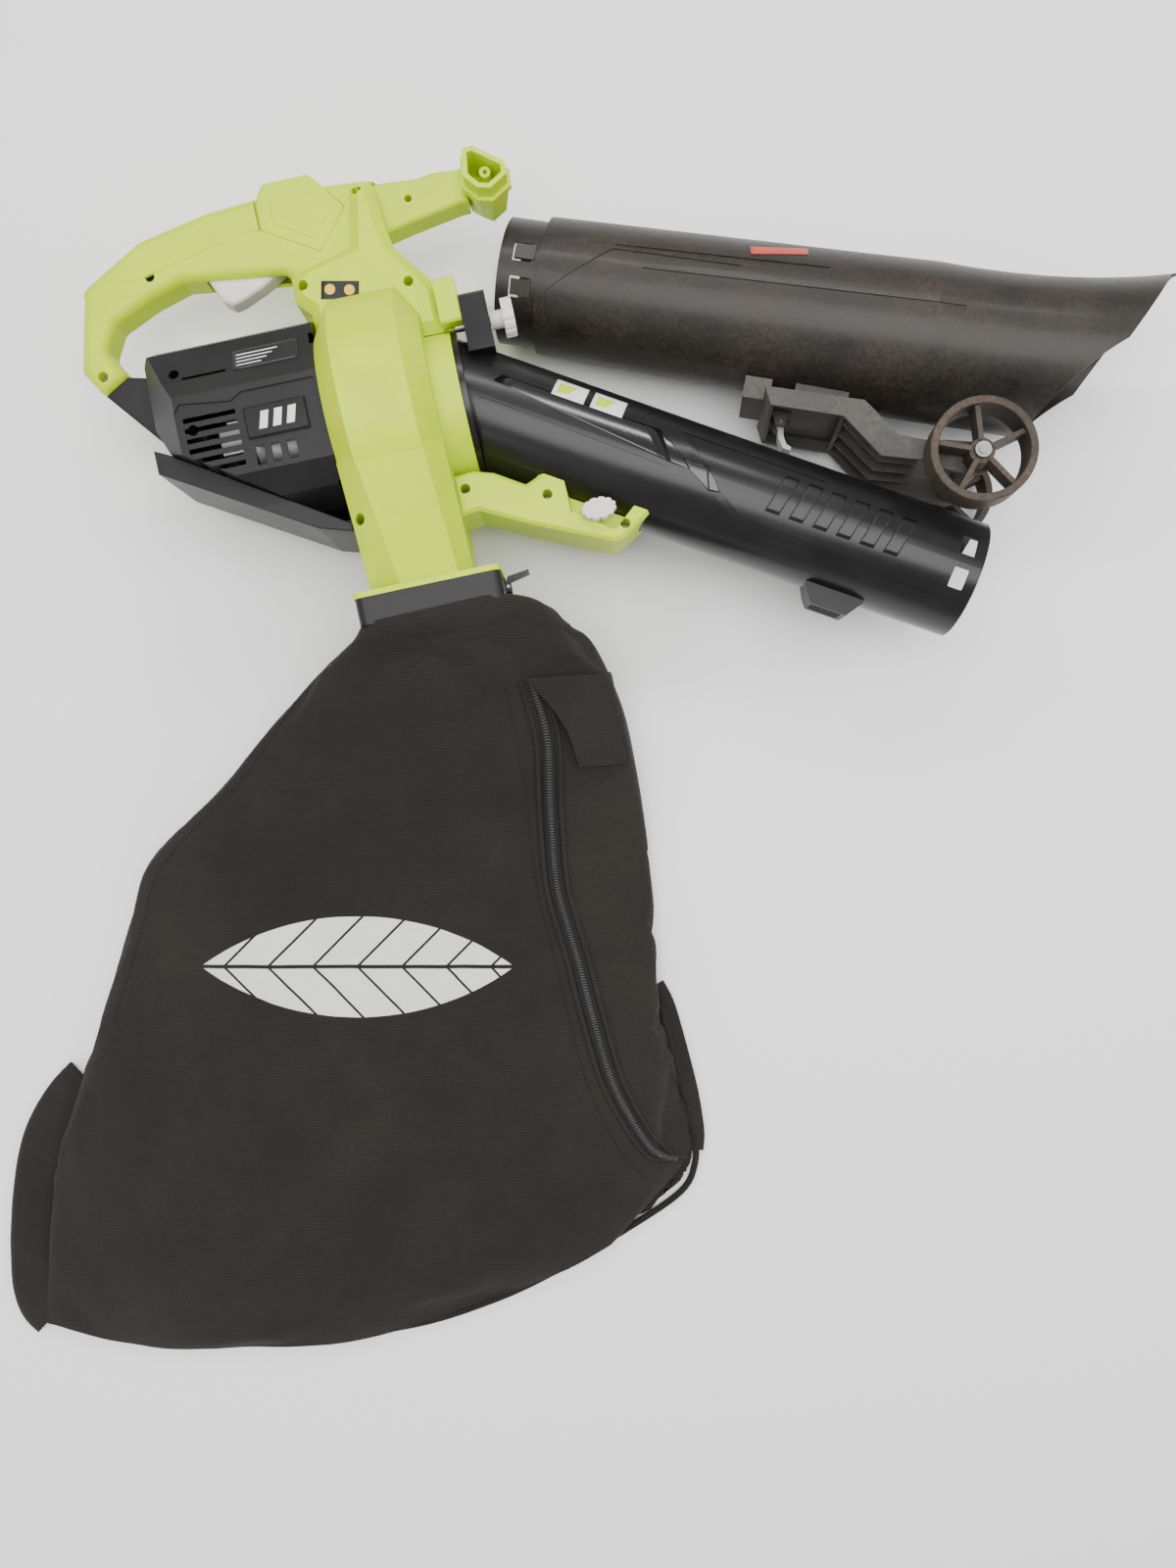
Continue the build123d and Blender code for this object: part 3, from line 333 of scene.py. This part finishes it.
def makeCloth(name, look, printed=False):
    material, tree, shader = startMaterial(name)
    weave = useGroup(tree, weaveGroup, Pitch=look["pitch"], Turn=math.radians(look["turn"]))
    dust = useGroup(tree, dustGroup, Cover=look["lint"], Scale=5.0)
    colour = mixColour(tree, weave.outputs["Tone"], look["colour"], look["shade"])
    # painted shade: the weave's valleys are darkened to 0.45 of the cloth colour where its height is low
    paintedValleyShade = tuple(channel * 0.45 for channel in look["colour"])
    colour = mixColour(tree, weave.outputs["Height"], paintedValleyShade, colour)
    lint = maths(tree, "MULTIPLY", dust.outputs[0], look["lint"] * 0.7)
    colour = mixColour(tree, lint, colour, (0.07, 0.058, 0.045))
    if printed:
        mask = addLeafMask(tree)
        worn = maths(tree, "SUBTRACT", 1.0, maths(tree, "MULTIPLY", dust.outputs[0], 0.25))
        colour = mixColour(tree, maths(tree, "MULTIPLY", mask, worn), colour, printMark["ink"])
    tree.links.new(colour, shader.inputs["Base Color"])
    bump = addNode(tree, "ShaderNodeBump",
                   {"Height": weave.outputs["Height"], "Strength": look["bump"], "Distance": 0.0006})
    tree.links.new(bump.outputs[0], shader.inputs["Normal"])
    rough = maths(tree, "ADD", 0.82, maths(tree, "MULTIPLY", weave.outputs["Tone"], 0.12))
    tree.links.new(rough, shader.inputs["Roughness"])
    shader.inputs["Sheen Weight"].default_value = 0.05
    shader.inputs["Sheen Roughness"].default_value = 0.6
    shader.inputs["Specular IOR Level"].default_value = 0.25
    return material


materials = {}
for label, look in mouldedFinishes.items():
    materials[label] = makeMoulded(label, look)
for label, look in metalFinishes.items():
    metalLook = dict(look, grain=700.0, bump=0.05, dust=0.12, dirt=(0.1, 0.09, 0.08), scuff=0.25, coat=0.0)
    materials[label] = makeMoulded(label, metalLook, metal=1.0)
for label, look in clothFinishes.items():
    materials[label] = makeCloth(label, look, printed=label == "bag_fabric")
materials["plain_fabric"] = makeCloth("plain_fabric", clothFinishes["bag_fabric"])

# these nodes are dirtier than others of their slot
dirtierNodes = {"lower_tube": "dusty_tube", "wheel_bracket": "dusty_bracket", "snap_tabs": "dusty_tube"}
for part in frame["record"]["subparts"]:
    label = dirtierNodes.get(part["node"], part["material_slot"])
    for materialSlot in nodes[part["node"]].material_slots:
        materialSlot.material = materials[label]
print("materials on", len(nodes), "nodes")


# ---- making pieces

def finishPiece(name, shape, label, body="machine", smooth=True):
    mesh = bpy.data.meshes.new(name)
    if smooth:
        for face in shape.faces:
            face.smooth = True
    shape.to_mesh(mesh)
    shape.free()
    mesh.materials.append(materials[label])
    piece = bpy.data.objects.new(name, mesh)
    scene.collection.objects.link(piece)
    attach(piece, body)
    return piece


def roundEdges(shape, width, segments=2):
    bmesh.ops.bevel(shape, geom=shape.edges[:], offset=width, offset_type="OFFSET", segments=segments,
                    profile=0.5, affect="EDGES", material=-1, clamp_overlap=True)


def bendPath(points, count):
    # even points along a smooth line through the given ones
    curve = []
    last = len(points) - 1
    for index in range(last):
        before, start = points[max(index - 1, 0)], points[index]
        end, after = points[index + 1], points[min(index + 2, last)]
        for step in range(24):
            t = step / 24
            curve.append(0.5 * ((2 * start) + (end - before) * t
                                + (2 * before - 5 * start + 4 * end - after) * t * t
                                + (3 * start - 3 * end + after - before) * t ** 3))
    curve.append(points[last].copy())
    lengths = [0.0]
    for first, second in zip(curve, curve[1:]):
        lengths.append(lengths[-1] + (second - first).length)
    even, place = [], 0
    for index in range(count):
        target = lengths[-1] * index / (count - 1)
        while place < len(lengths) - 2 and lengths[place + 1] < target:
            place += 1
        span = max(lengths[place + 1] - lengths[place], 1e-9)
        even.append(curve[place].lerp(curve[place + 1], (target - lengths[place]) / span))
    return even


# ---- the bag: rings from its collar to its bottom seam
# each ring: left edge, right edge, lowest and highest level, how far its middle reaches down, squareness
bagRings = [
    ((-132, -187), (2, -185), -64.5, 64.5, 0, 7.0),
    ((-146, -199), (27, -194), -68, 62, 0, 6.0),
    ((-182, -217), (46, -213), -82, 52, 0, 5.0),
    ((-236, -248), (66, -246), -97, 32, 0, 4.2),
    ((-305, -297), (79, -300), -108, 2, 0, 3.8),
    ((-370, -330), (81, -352), -111.4, -26, 0, 3.4),
    ((-412, -358), (80, -402), -111.5, -50, 0, 3.2),
    ((-440, -404), (77, -450), -111.5, -64, 4, 3.0),
    ((-486, -490), (67, -530), -111.5, -69, 12, 3.0),
    ((-518, -545), (60, -590), -111.5, -71, 24, 3.0),
    ((-560, -620), (63, -655), -111.5, -74, 40, 3.0),
    ((-590, -700), (66, -706), -111.5, -79, 58, 3.0),
    ((-612, -764), (62, -752), -111.5, -90, 74, 2.6),
    ((-614, -784), (50, -782), -106.0, -101, 81, 2.2),
]
bagLook = {"rows": 150, "columns": 68, "seamLevel": 0.32, "foldHeight": 4.5, "thickness": 0.0012}


def ringAt(position):
    # rings are joined by a smooth curve through their numbers
    last = len(bagRings) - 1
    place = min(int(position * last), last - 1)
    t = position * last - place
    rows = []
    for index in (place - 1, place, place + 1, place + 2):
        ring = bagRings[min(max(index, 0), last)]
        rows.append([*ring[0], *ring[1], *ring[2:]])
    mixed = []
    for before, start, end, after in zip(*rows):
        mixed.append(0.5 * (2 * start + (end - before) * t
                            + (2 * before - 5 * start + 4 * end - after) * t * t
                            + (3 * start - 3 * end + after - before) * t ** 3))
    return mixed


def bagPoint(across, position, top):
    left, leftY, right, rightY, low, high, reach, square = ringAt(position)
    x = left + (right - left) * across
    y = leftY + (rightY - leftY) * across - reach * 4 * across * (1 - across)
    swell = max(0.0, 1 - abs(2 * across - 1) ** square) ** (1 / square)
    seam = 0.5 + (bagLook["seamLevel"] - 0.5) * min(1.0, position * 3)
    level = seam + (1 - seam) * swell if top else seam * (1 - swell)
    return x, y, low + (high - low) * level


def makeBag():
    # a flat grid is wrapped round: its X goes over the top and back underneath
    columns = bagLook["columns"]
    shape = bmesh.new()
    bmesh.ops.create_grid(shape, x_segments=2 * columns, y_segments=bagLook["rows"], size=1.0)
    for vert in shape.verts:
        turn = (vert.co.x + 1) / 2
        position = (1 - vert.co.y) / 2
        top = turn <= 0.5
        across = turn * 2 if top else 2 - turn * 2
        across = 0.5 - 0.5 * math.cos(math.pi * across)
        x, y, z = bagPoint(across, position, top)
        if top:
            # long soft folds that run down from the collar and fade away
            fade = math.sin(math.pi * min(1.0, across * 1.02)) * min(1.0, position * 8)
            lengthwise = noise.noise(Vector((x * 0.022, y * 0.006, 3.1)))
            crossing = noise.noise(Vector(((x + y) * 0.010, (x - y) * 0.028, 8.7)))
            tight = noise.noise(Vector((x * 0.05, y * 0.02, 1.3))) * max(0.0, 1 - position * 2.4)
            z += bagLook["foldHeight"] * fade * (lengthwise + 0.8 * crossing + 0.9 * tight)
        vert.co = spot(x, y, max(z, floorLevel + 0.6))
    bmesh.ops.remove_doubles(shape, verts=shape.verts[:], dist=0.00005)
    bmesh.ops.recalc_face_normals(shape, faces=shape.faces[:])
    bag = finishPiece("bagShell", shape, "bag_fabric", "bag")
    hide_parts("bag_body", "bag_cuff")
    return bag


bagClothRun = {"frames": 14, "grow": -0.045, "cap": 0.007, "bending": 0.35}


def crumpleBag(bag):
    # the cloth is cut a little larger than its shape, so it buckles into small creases
    pins = bag.vertex_groups.new(name="pins")
    mouth = spot(0, -200, 0).y
    for vert in bag.data.vertices:
        low = vert.co.z < spot(0, 0, floorLevel + 6).z
        nearMouth = min(1.0, max(0.0, 1 - (mouth - vert.co.y) / 0.03))
        pins.add([vert.index], max(nearMouth, 0.9 if low else 0.0), "REPLACE")
    start = [vert.co.copy() for vert in bag.data.vertices]
    modifier = bag.modifiers.new("cloth", "CLOTH")
    settings = modifier.settings
    settings.quality = 6
    settings.mass = 0.3
    settings.tension_stiffness = 12
    settings.compression_stiffness = 12
    settings.shear_stiffness = 4
    settings.bending_stiffness = bagClothRun["bending"]
    settings.vertex_group_mass = "pins"
    settings.shrink_min = bagClothRun["grow"]
    settings.effector_weights.gravity = 0.0
    modifier.collision_settings.use_collision = False
    modifier.point_cache.frame_start = 1
    modifier.point_cache.frame_end = bagClothRun["frames"]
    for number in range(1, bagClothRun["frames"] + 1):
        scene.frame_set(number)
    solved = bag.evaluated_get(bpy.context.evaluated_depsgraph_get())
    moved = [vert.co.copy() for vert in solved.data.vertices]
    bag.modifiers.remove(modifier)
    bag.vertex_groups.remove(pins)
    scene.frame_set(1)
    lowest = spot(0, 0, floorLevel + 0.6).z
    for vert, before, after in zip(bag.data.vertices, start, moved):
        step = after - before
        if step.length > bagClothRun["cap"]:
            step = step * (bagClothRun["cap"] / step.length)
        vert.co = before + step
        vert.co.z = max(vert.co.z, lowest)
    print("bag crumpled")


bag = makeBag()
crumpleBag(bag)
wall = bag.modifiers.new("wall", "SOLIDIFY")
wall.thickness = bagLook["thickness"]
wall.offset = -1.0

bagTree = BVHTree.FromPolygons([vert.co for vert in bag.data.vertices],
                               [face.vertices for face in bag.data.polygons])


def onBag(x, y, lift=0.0):
    # the point on top of the bag over a place on the floor, and the cloth's own direction there
    hit, normal, _, _ = bagTree.ray_cast(spot(x, y, 300), Vector((0, 0, -1)))
    if hit is None:
        hit, normal = spot(x, y, floorLevel + 4), Vector((0, 0, 1))
    if normal.z < 0:
        normal = -normal
    return hit + normal * lift * 0.001, normal


def overBag(points, count, lift=0.0):
    places = bendPath([Vector((x, y, 0)) for x, y in points], count)
    return [onBag(place.x, place.y, lift) for place in places]


def layRibbon(name, points, width, thickness, count, label, lift=0.2, rows=4):
    # a band that follows the bag's surface
    path = bendPath([Vector((x, y, 0)) for x, y in points], count)
    shape = bmesh.new()
    bmesh.ops.create_grid(shape, x_segments=rows, y_segments=count - 1, size=1.0)
    for vert in shape.verts:
        index = round((1 - vert.co.y) / 2 * (count - 1))
        ahead = path[min(index + 1, count - 1)] - path[max(index - 1, 0)]
        side = Vector((-ahead.y, ahead.x, 0)).normalized()
        taper = 0.4 + 0.6 * math.sin(math.pi * index / (count - 1))
        place = path[index] + side * (vert.co.x * taper * width / 2)
        vert.co = onBag(place.x, place.y, lift)[0]
    bmesh.ops.recalc_face_normals(shape, faces=shape.faces[:])
    if sum(face.normal.z for face in shape.faces) < 0:
        bmesh.ops.reverse_faces(shape, faces=shape.faces[:])
    bmesh.ops.solidify(shape, geom=shape.faces[:], thickness=-thickness * 0.001)
    return finishPiece(name, shape, label, "bag")


def layBeads(name, places, size, label, body="bag"):
    # small rounded blocks along a line, such as teeth or stitches
    shape = bmesh.new()
    for centre, ahead, normal in places:
        block = bmesh.ops.create_cube(shape, size=1.0)["verts"]
        side = normal.cross(ahead).normalized()
        up = ahead.cross(side).normalized()
        turn = Matrix((ahead.normalized() * size[0], side * size[1], up * size[2])).transposed().to_4x4()
        bmesh.ops.transform(shape, matrix=Matrix.Translation(centre) @ turn, verts=block)
    roundEdges(shape, min(size) * 0.3, 1)
    return finishPiece(name, shape, label, body)


def stitchPlaces(points, pitch, lift):
    flat = bendPath([Vector((x, y, 0)) for x, y in points], 200)
    length = sum((second - first).length for first, second in zip(flat, flat[1:]))
    count = max(4, int(length / pitch))
    line = overBag(points, count + 1, lift)
    places = []
    for (first, normal), (second, _) in zip(line, line[1:]):
        places.append(((first + second) / 2, second - first, normal))
    return places


# ---- zip, its flap and the seams of the bag

zipLine = [(5, -262), (8, -313), (-4, -380), (-14, -452), (-12, -500), (-9, -539), (-6, -600), (-1, -657),
           (12, -705), (27, -739), (46, -752)]
zipLook = {"tapeWidth": 15.0, "toothPitch": 2.6, "tooth": (0.0016, 0.0056, 0.0018)}

tape = layRibbon("zipBand", zipLine, zipLook["tapeWidth"], 0.8, 120, "zip", lift=0.9)
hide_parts("zip_tape")
layBeads("zipTeeth", stitchPlaces(zipLine, zipLook["toothPitch"], 1.6), zipLook["tooth"], "zip_metal")
for sideIndex, shift in enumerate((-10.5, 10.5)):
    line = [(x + shift, y - 0.15 * shift) for x, y in zipLine]
    layRibbon(f"zipEdge{sideIndex}", line, 5.0, 1.3, 110, "plain_fabric", lift=1.0)

seamLines = {
    "panelSeam": [(-18, -262), (-22, -340), (-34, -452), (-31, -540), (-26, -650), (-10, -720), (12, -764)],
    "hemSeam": [(-118, -203), (-86, -206), (-40, -208), (10, -206)],
    "flapSeam": [(10, -266), (40, -268), (70, -273)],
    "sideSeam": [(-205, -236), (-290, -300), (-360, -336), (-402, -368), (-428, -414), (-476, -500)],
}
for label, line in seamLines.items():
    places = stitchPlaces(line, 5.0, 0.5)
    layBeads(label, places, (0.0032, 0.0009, 0.0008), "bag_binding")

# a fold along the bag's bottom and sides, bound in tape over a cord
pipingLine = [(-601, -772), (-604, -785), (-560, -806), (-490, -832), (-369, -855), (-251, -864),
              (-170, -857),
              (-106, -843), (-30, -818), (40, -790), (62, -765), (68, -735), (67, -690),
              (64, -650), (61, -600)]


def makePiping(name, points, radius, level, count=150):
    path = bendPath([Vector((x, y, 0)) for x, y in points], count)
    shape = bmesh.new()
    ring = bmesh.ops.create_circle(shape, segments=10, radius=radius * 0.001, cap_ends=True)["verts"]
    ahead = (path[1] - path[0]).normalized()
    turn = Vector((0, 0, 1)).rotation_difference(ahead).to_matrix().to_4x4()
    start = spot(path[0].x, path[0].y, level)
    bmesh.ops.transform(shape, matrix=Matrix.Translation(start) @ turn, verts=ring)
    face = shape.faces[:][0]
    for index in range(1, count):
        new = bmesh.ops.extrude_discrete_faces(shape, faces=[face])["faces"][0]
        before = path[index] - path[index - 1]
        after = path[min(index + 1, count - 1)] - path[index]
        bend = ahead.rotation_difference((before + after).normalized())
        ahead = (before + after).normalized()
        middle = spot(path[index - 1].x, path[index - 1].y, level)
        target = spot(path[index].x, path[index].y, level)
        turn = Matrix.Translation(target) @ bend.to_matrix().to_4x4() @ Matrix.Translation(-middle)
        bmesh.ops.transform(shape, matrix=turn, verts=new.verts)
        face = new
    bmesh.ops.remove_doubles(shape, verts=shape.verts[:], dist=0.00001)
    bmesh.ops.recalc_face_normals(shape, faces=shape.faces[:])
    return finishPiece(name, shape, "bag_binding", "bag")


makePiping("bagPiping", pipingLine, 3.4, floorLevel + 7.5)

# the flap over the top end of the zip
flapLook = {"corners": [(-1, -257), (76, -266), (81, -352), (30, -345)],
            "across": 26, "down": 26, "thickness": 1.7}


def makeFlap():
    a, b, c, d = [Vector((x, y, 0)) for x, y in flapLook["corners"]]
    shape = bmesh.new()
    bmesh.ops.create_grid(shape, x_segments=flapLook["across"], y_segments=flapLook["down"], size=1.0)
    for vert in shape.verts:
        u, v = (vert.co.x + 1) / 2, (1 - vert.co.y) / 2
        place = a.lerp(b, u).lerp(d.lerp(c, u), v)
        place.x += 9 * math.sin(math.pi * v) * (1 - u)
        curl = 2.2 * math.sin(math.pi * min(1.0, v * 1.1)) * (1 - u) ** 2 + 1.2 * v * v
        ripple = 0.8 * noise.noise(Vector((place.x * 0.05, place.y * 0.05, 2.0)))
        vert.co = onBag(min(place.x, 76.5), place.y, 3.2 + curl + ripple)[0]
    bmesh.ops.smooth_vert(shape, verts=shape.verts[:], factor=0.5,
                          use_axis_x=True, use_axis_y=True, use_axis_z=True)
    bmesh.ops.recalc_face_normals(shape, faces=shape.faces[:])
    if sum(face.normal.z for face in shape.faces) < 0:
        bmesh.ops.reverse_faces(shape, faces=shape.faces[:])
    bmesh.ops.solidify(shape, geom=shape.faces[:], thickness=-flapLook["thickness"] * 0.001)
    return finishPiece("zipFlap", shape, "plain_fabric", "bag")


flap = makeFlap()

# hand straps folded from the same cloth at the bag's two lower corners
strapLines = {
    "leftStrap": ([(-523, -550), (-548, -568), (-574, -598), (-592, -636), (-606, -682), (-616, -730),
                   (-616, -762), (-606, -780)], 44.0, "bag_handle_left"),
    "rightStrap": ([(62, -578), (68, -600), (71, -640), (73, -690), (71, -730), (66, -750)], 15.5,
                   "bag_handle_right"),
}


def makeStrap(name, points, width, node):
    count = 60
    path = bendPath([Vector((x, y, 0)) for x, y in points], count)
    shape = bmesh.new()
    bmesh.ops.create_grid(shape, x_segments=8, y_segments=count - 1, size=1.0)
    for vert in shape.verts:
        index = round((1 - vert.co.y) / 2 * (count - 1))
        ahead = path[min(index + 1, count - 1)] - path[max(index - 1, 0)]
        side = Vector((-ahead.y, ahead.x, 0)).normalized()
        place = path[index] + side * (vert.co.x * width / 2)
        ripple = noise.noise(Vector((place.x * 0.03, place.y * 0.03, 5.0)))
        crown = min(3.0, 0.08 * width) * (1 - vert.co.x ** 2) + min(1.4, 0.05 * width) * ripple
        vert.co = spot(place.x, place.y, floorLevel + 5.0 + crown)
    bmesh.ops.recalc_face_normals(shape, faces=shape.faces[:])
    if sum(face.normal.z for face in shape.faces) < 0:
        bmesh.ops.reverse_faces(shape, faces=shape.faces[:])
    bmesh.ops.solidify(shape, geom=shape.faces[:], thickness=-0.0024)
    piece = finishPiece(name, shape, "plain_fabric", "bag")
    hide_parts(node)


for label, (line, width, node) in strapLines.items():
    makeStrap(label, line, width, node)
print("bag trimmed")


# ---- labels and raised marks on the hard parts

tubeTurn = math.radians(-31.3)


def tubeSpot(along, sideways, radius):
    # along and across the upper tube, on its top side
    height = math.sqrt(max(radius * radius - sideways * sideways, 0.0))
    x = along * math.cos(tubeTurn) - sideways * math.sin(tubeTurn)
    y = along * math.sin(tubeTurn) + sideways * math.cos(tubeTurn)
    return spot(x, y, height)


def layPlate(name, corners, place, thickness, label, body):
    # a thin plate between four corners, bent by a placing function
    a, b, c, d = [Vector(corner) for corner in corners]
    shape = bmesh.new()
    bmesh.ops.create_grid(shape, x_segments=10, y_segments=10, size=1.0)
    for vert in shape.verts:
        u, v = (vert.co.x + 1) / 2, (1 - vert.co.y) / 2
        point = a.lerp(b, u).lerp(d.lerp(c, u), v)
        vert.co = place(point.x, point.y)
    bmesh.ops.recalc_face_normals(shape, faces=shape.faces[:])
    if sum(face.normal.z for face in shape.faces) < 0:
        bmesh.ops.reverse_faces(shape, faces=shape.faces[:])
    bmesh.ops.solidify(shape, geom=shape.faces[:], thickness=-thickness * 0.001)
    return finishPiece(name, shape, label, body)


for index, start in enumerate((76, 112)):
    corners = [(start, 40), (start + 30, 40), (start + 30, 22), (start, 22)]
    layPlate(f"tubeLabel{index}", corners, lambda x, y: tubeSpot(x, y, 54.05), 0.3, "label_white",
             "upper_tube")
    inner = [(start + 4, 36), (start + 20, 36), (start + 14, 27), (start + 4, 25)]
    layPlate(f"tubeLabelPatch{index}", inner, lambda x, y: tubeSpot(x, y, 54.3), 0.2, "lime",
             "upper_tube")

# a glossy stripe let into the tube beside its labels
stripeCorners = [
    [(30, 24), (178, 24), (196, -2), (24, 15.5)],
    [(178, 24), (206, 6), (214, -2), (196, -2)],
    [(206, 6), (228, 6), (236, -14), (214, -2)],
    [(228, 6), (236, -2), (246, -12), (236, -14)],
]
for index, corners in enumerate(stripeCorners):
    layPlate(f"tubeStripe{index}", corners, lambda x, y: tubeSpot(x, y, 53.3), 0.3, "gloss_inlay",
             "upper_tube")

# plain slanted ribs raised on the tube's far half
for index in range(6):
    start = 296 + 22 * index
    corners = [(start, 22), (start + 13, 22), (start + 5, -14), (start - 8, -14)]
    layPlate(f"tubeRib{index}", corners, lambda x, y: tubeSpot(x, y, 53.9), 1.0, "black_tube", "upper_tube")


lowerTube = {"start": (62.2, 128.3), "height": -53.1, "turn": math.radians(-22.3),
             "tilt": math.radians(4.446)}


def lowerSpot(along, sideways):
    # along and across the lower tube, on its top side
    radius = 62.1 + 9 * (along - 38) / 362
    up = math.sqrt(radius * radius - sideways * sideways)
    run = along * math.cos(lowerTube["tilt"]) - up * math.sin(lowerTube["tilt"])
    height = along * math.sin(lowerTube["tilt"]) + up * math.cos(lowerTube["tilt"])
    x = lowerTube["start"][0] + run * math.cos(lowerTube["turn"]) - sideways * math.sin(lowerTube["turn"])
    y = lowerTube["start"][1] + run * math.sin(lowerTube["turn"]) + sideways * math.cos(lowerTube["turn"])
    return spot(x, y, lowerTube["height"] + height)


layPlate("redSticker", [(226, 42), (278, 51), (279, 42), (228, 33)], lowerSpot, 0.3, "label_red",
         "lower_tube")


def motorSpot(x, y):
    return spot(x, y, 66 - (y - 50) * 16 / 34 + 0.1)


layPlate("ratingLabel", [(-190, 71), (-132, 71), (-132, 51), (-190, 51)], motorSpot, 0.4, "label_black",
         "machine")
for index in range(4):
    y = 66.5 - 3.6 * index
    layPlate(f"ratingLine{index}", [(-187, y), (-150 - 5 * index, y), (-150 - 5 * index, y - 1.0),
                                   (-187, y - 1.0)],
             lambda x, y: motorSpot(x, y) + Vector((0, 0, 0.0005)), 0.15, "label_white",
             "machine")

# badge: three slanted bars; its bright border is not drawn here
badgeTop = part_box("badge_plate")[1][2]
for index in range(3):
    x = -176 + 12 * index
    layPlate(f"badgeBar{index}", [(x + 4, 7), (x + 11, 7), (x + 7, -8), (x, -8)],
             lambda x, y: Vector((*spot(x, y, 0).xy, badgeTop + 0.0001)), 0.6, "label_white", "machine")

layPlate("columnLabel", [(-103, 124), (-70, 117), (-73.5, 101), (-106.5, 108)],
         lambda x, y: spot(x, y, 38.1), 0.3, "label_black", "machine")
for index, (x, y) in enumerate(((-97, 115), (-80, 111))):
    shape = bmesh.new()
    bmesh.ops.create_cone(shape, cap_ends=True, segments=24, radius1=0.0048, radius2=0.0045, depth=0.0004)
    bmesh.ops.translate(shape, vec=spot(x, y, 38.6), verts=shape.verts)
    finishPiece(f"columnDot{index}", shape, "label_yellow", "machine", smooth=False)
print("labels on")


# ---- floor and light

shape = bmesh.new()
bmesh.ops.create_grid(shape, x_segments=1, y_segments=1, size=6.0)
mesh = bpy.data.meshes.new("floor")
shape.to_mesh(mesh)
shape.free()
floorMaterial, _, floorShader = startMaterial("paleFloor")
floorShader.inputs["Base Color"].default_value = (0.94, 0.94, 0.94, 1)
floorShader.inputs["Roughness"].default_value = 0.7
mesh.materials.append(floorMaterial)
floorObject = bpy.data.objects.new("floor", mesh)
scene.collection.objects.link(floorObject)

lightRig = {
    "overhead": {"place": (0.1, 0.1, 2.6), "size": (2.4, 1.6), "power": 78, "turn": (0, 0, 0)},
    "stripNear": {"place": (0.2, 1.7, 1.7), "size": (2.2, 0.14), "power": 26, "turn": (-50, 0, 0)},
    "stripRight": {"place": (1.9, -0.2, 1.5), "size": (0.14, 2.0), "power": 20, "turn": (0, 55, 0)},
    "fillLeft": {"place": (-2.0, -0.8, 1.6), "size": (1.4, 1.4), "power": 18, "turn": (0, -55, 0)},
}
for label, light in lightRig.items():
    data = bpy.data.lights.new(label, "AREA")
    data.shape = "RECTANGLE"
    data.size, data.size_y = light["size"]
    data.energy = light["power"]
    lamp = bpy.data.objects.new(label, data)
    lamp.location = light["place"]
    lamp.rotation_euler = [math.radians(angle) for angle in light["turn"]]
    scene.collection.objects.link(lamp)
world = bpy.data.worlds.new("studio")
world.use_nodes = True
world.node_tree.nodes["Background"].inputs[0].default_value = (1, 1, 1, 1)
world.node_tree.nodes["Background"].inputs[1].default_value = 0.5
scene.world = world
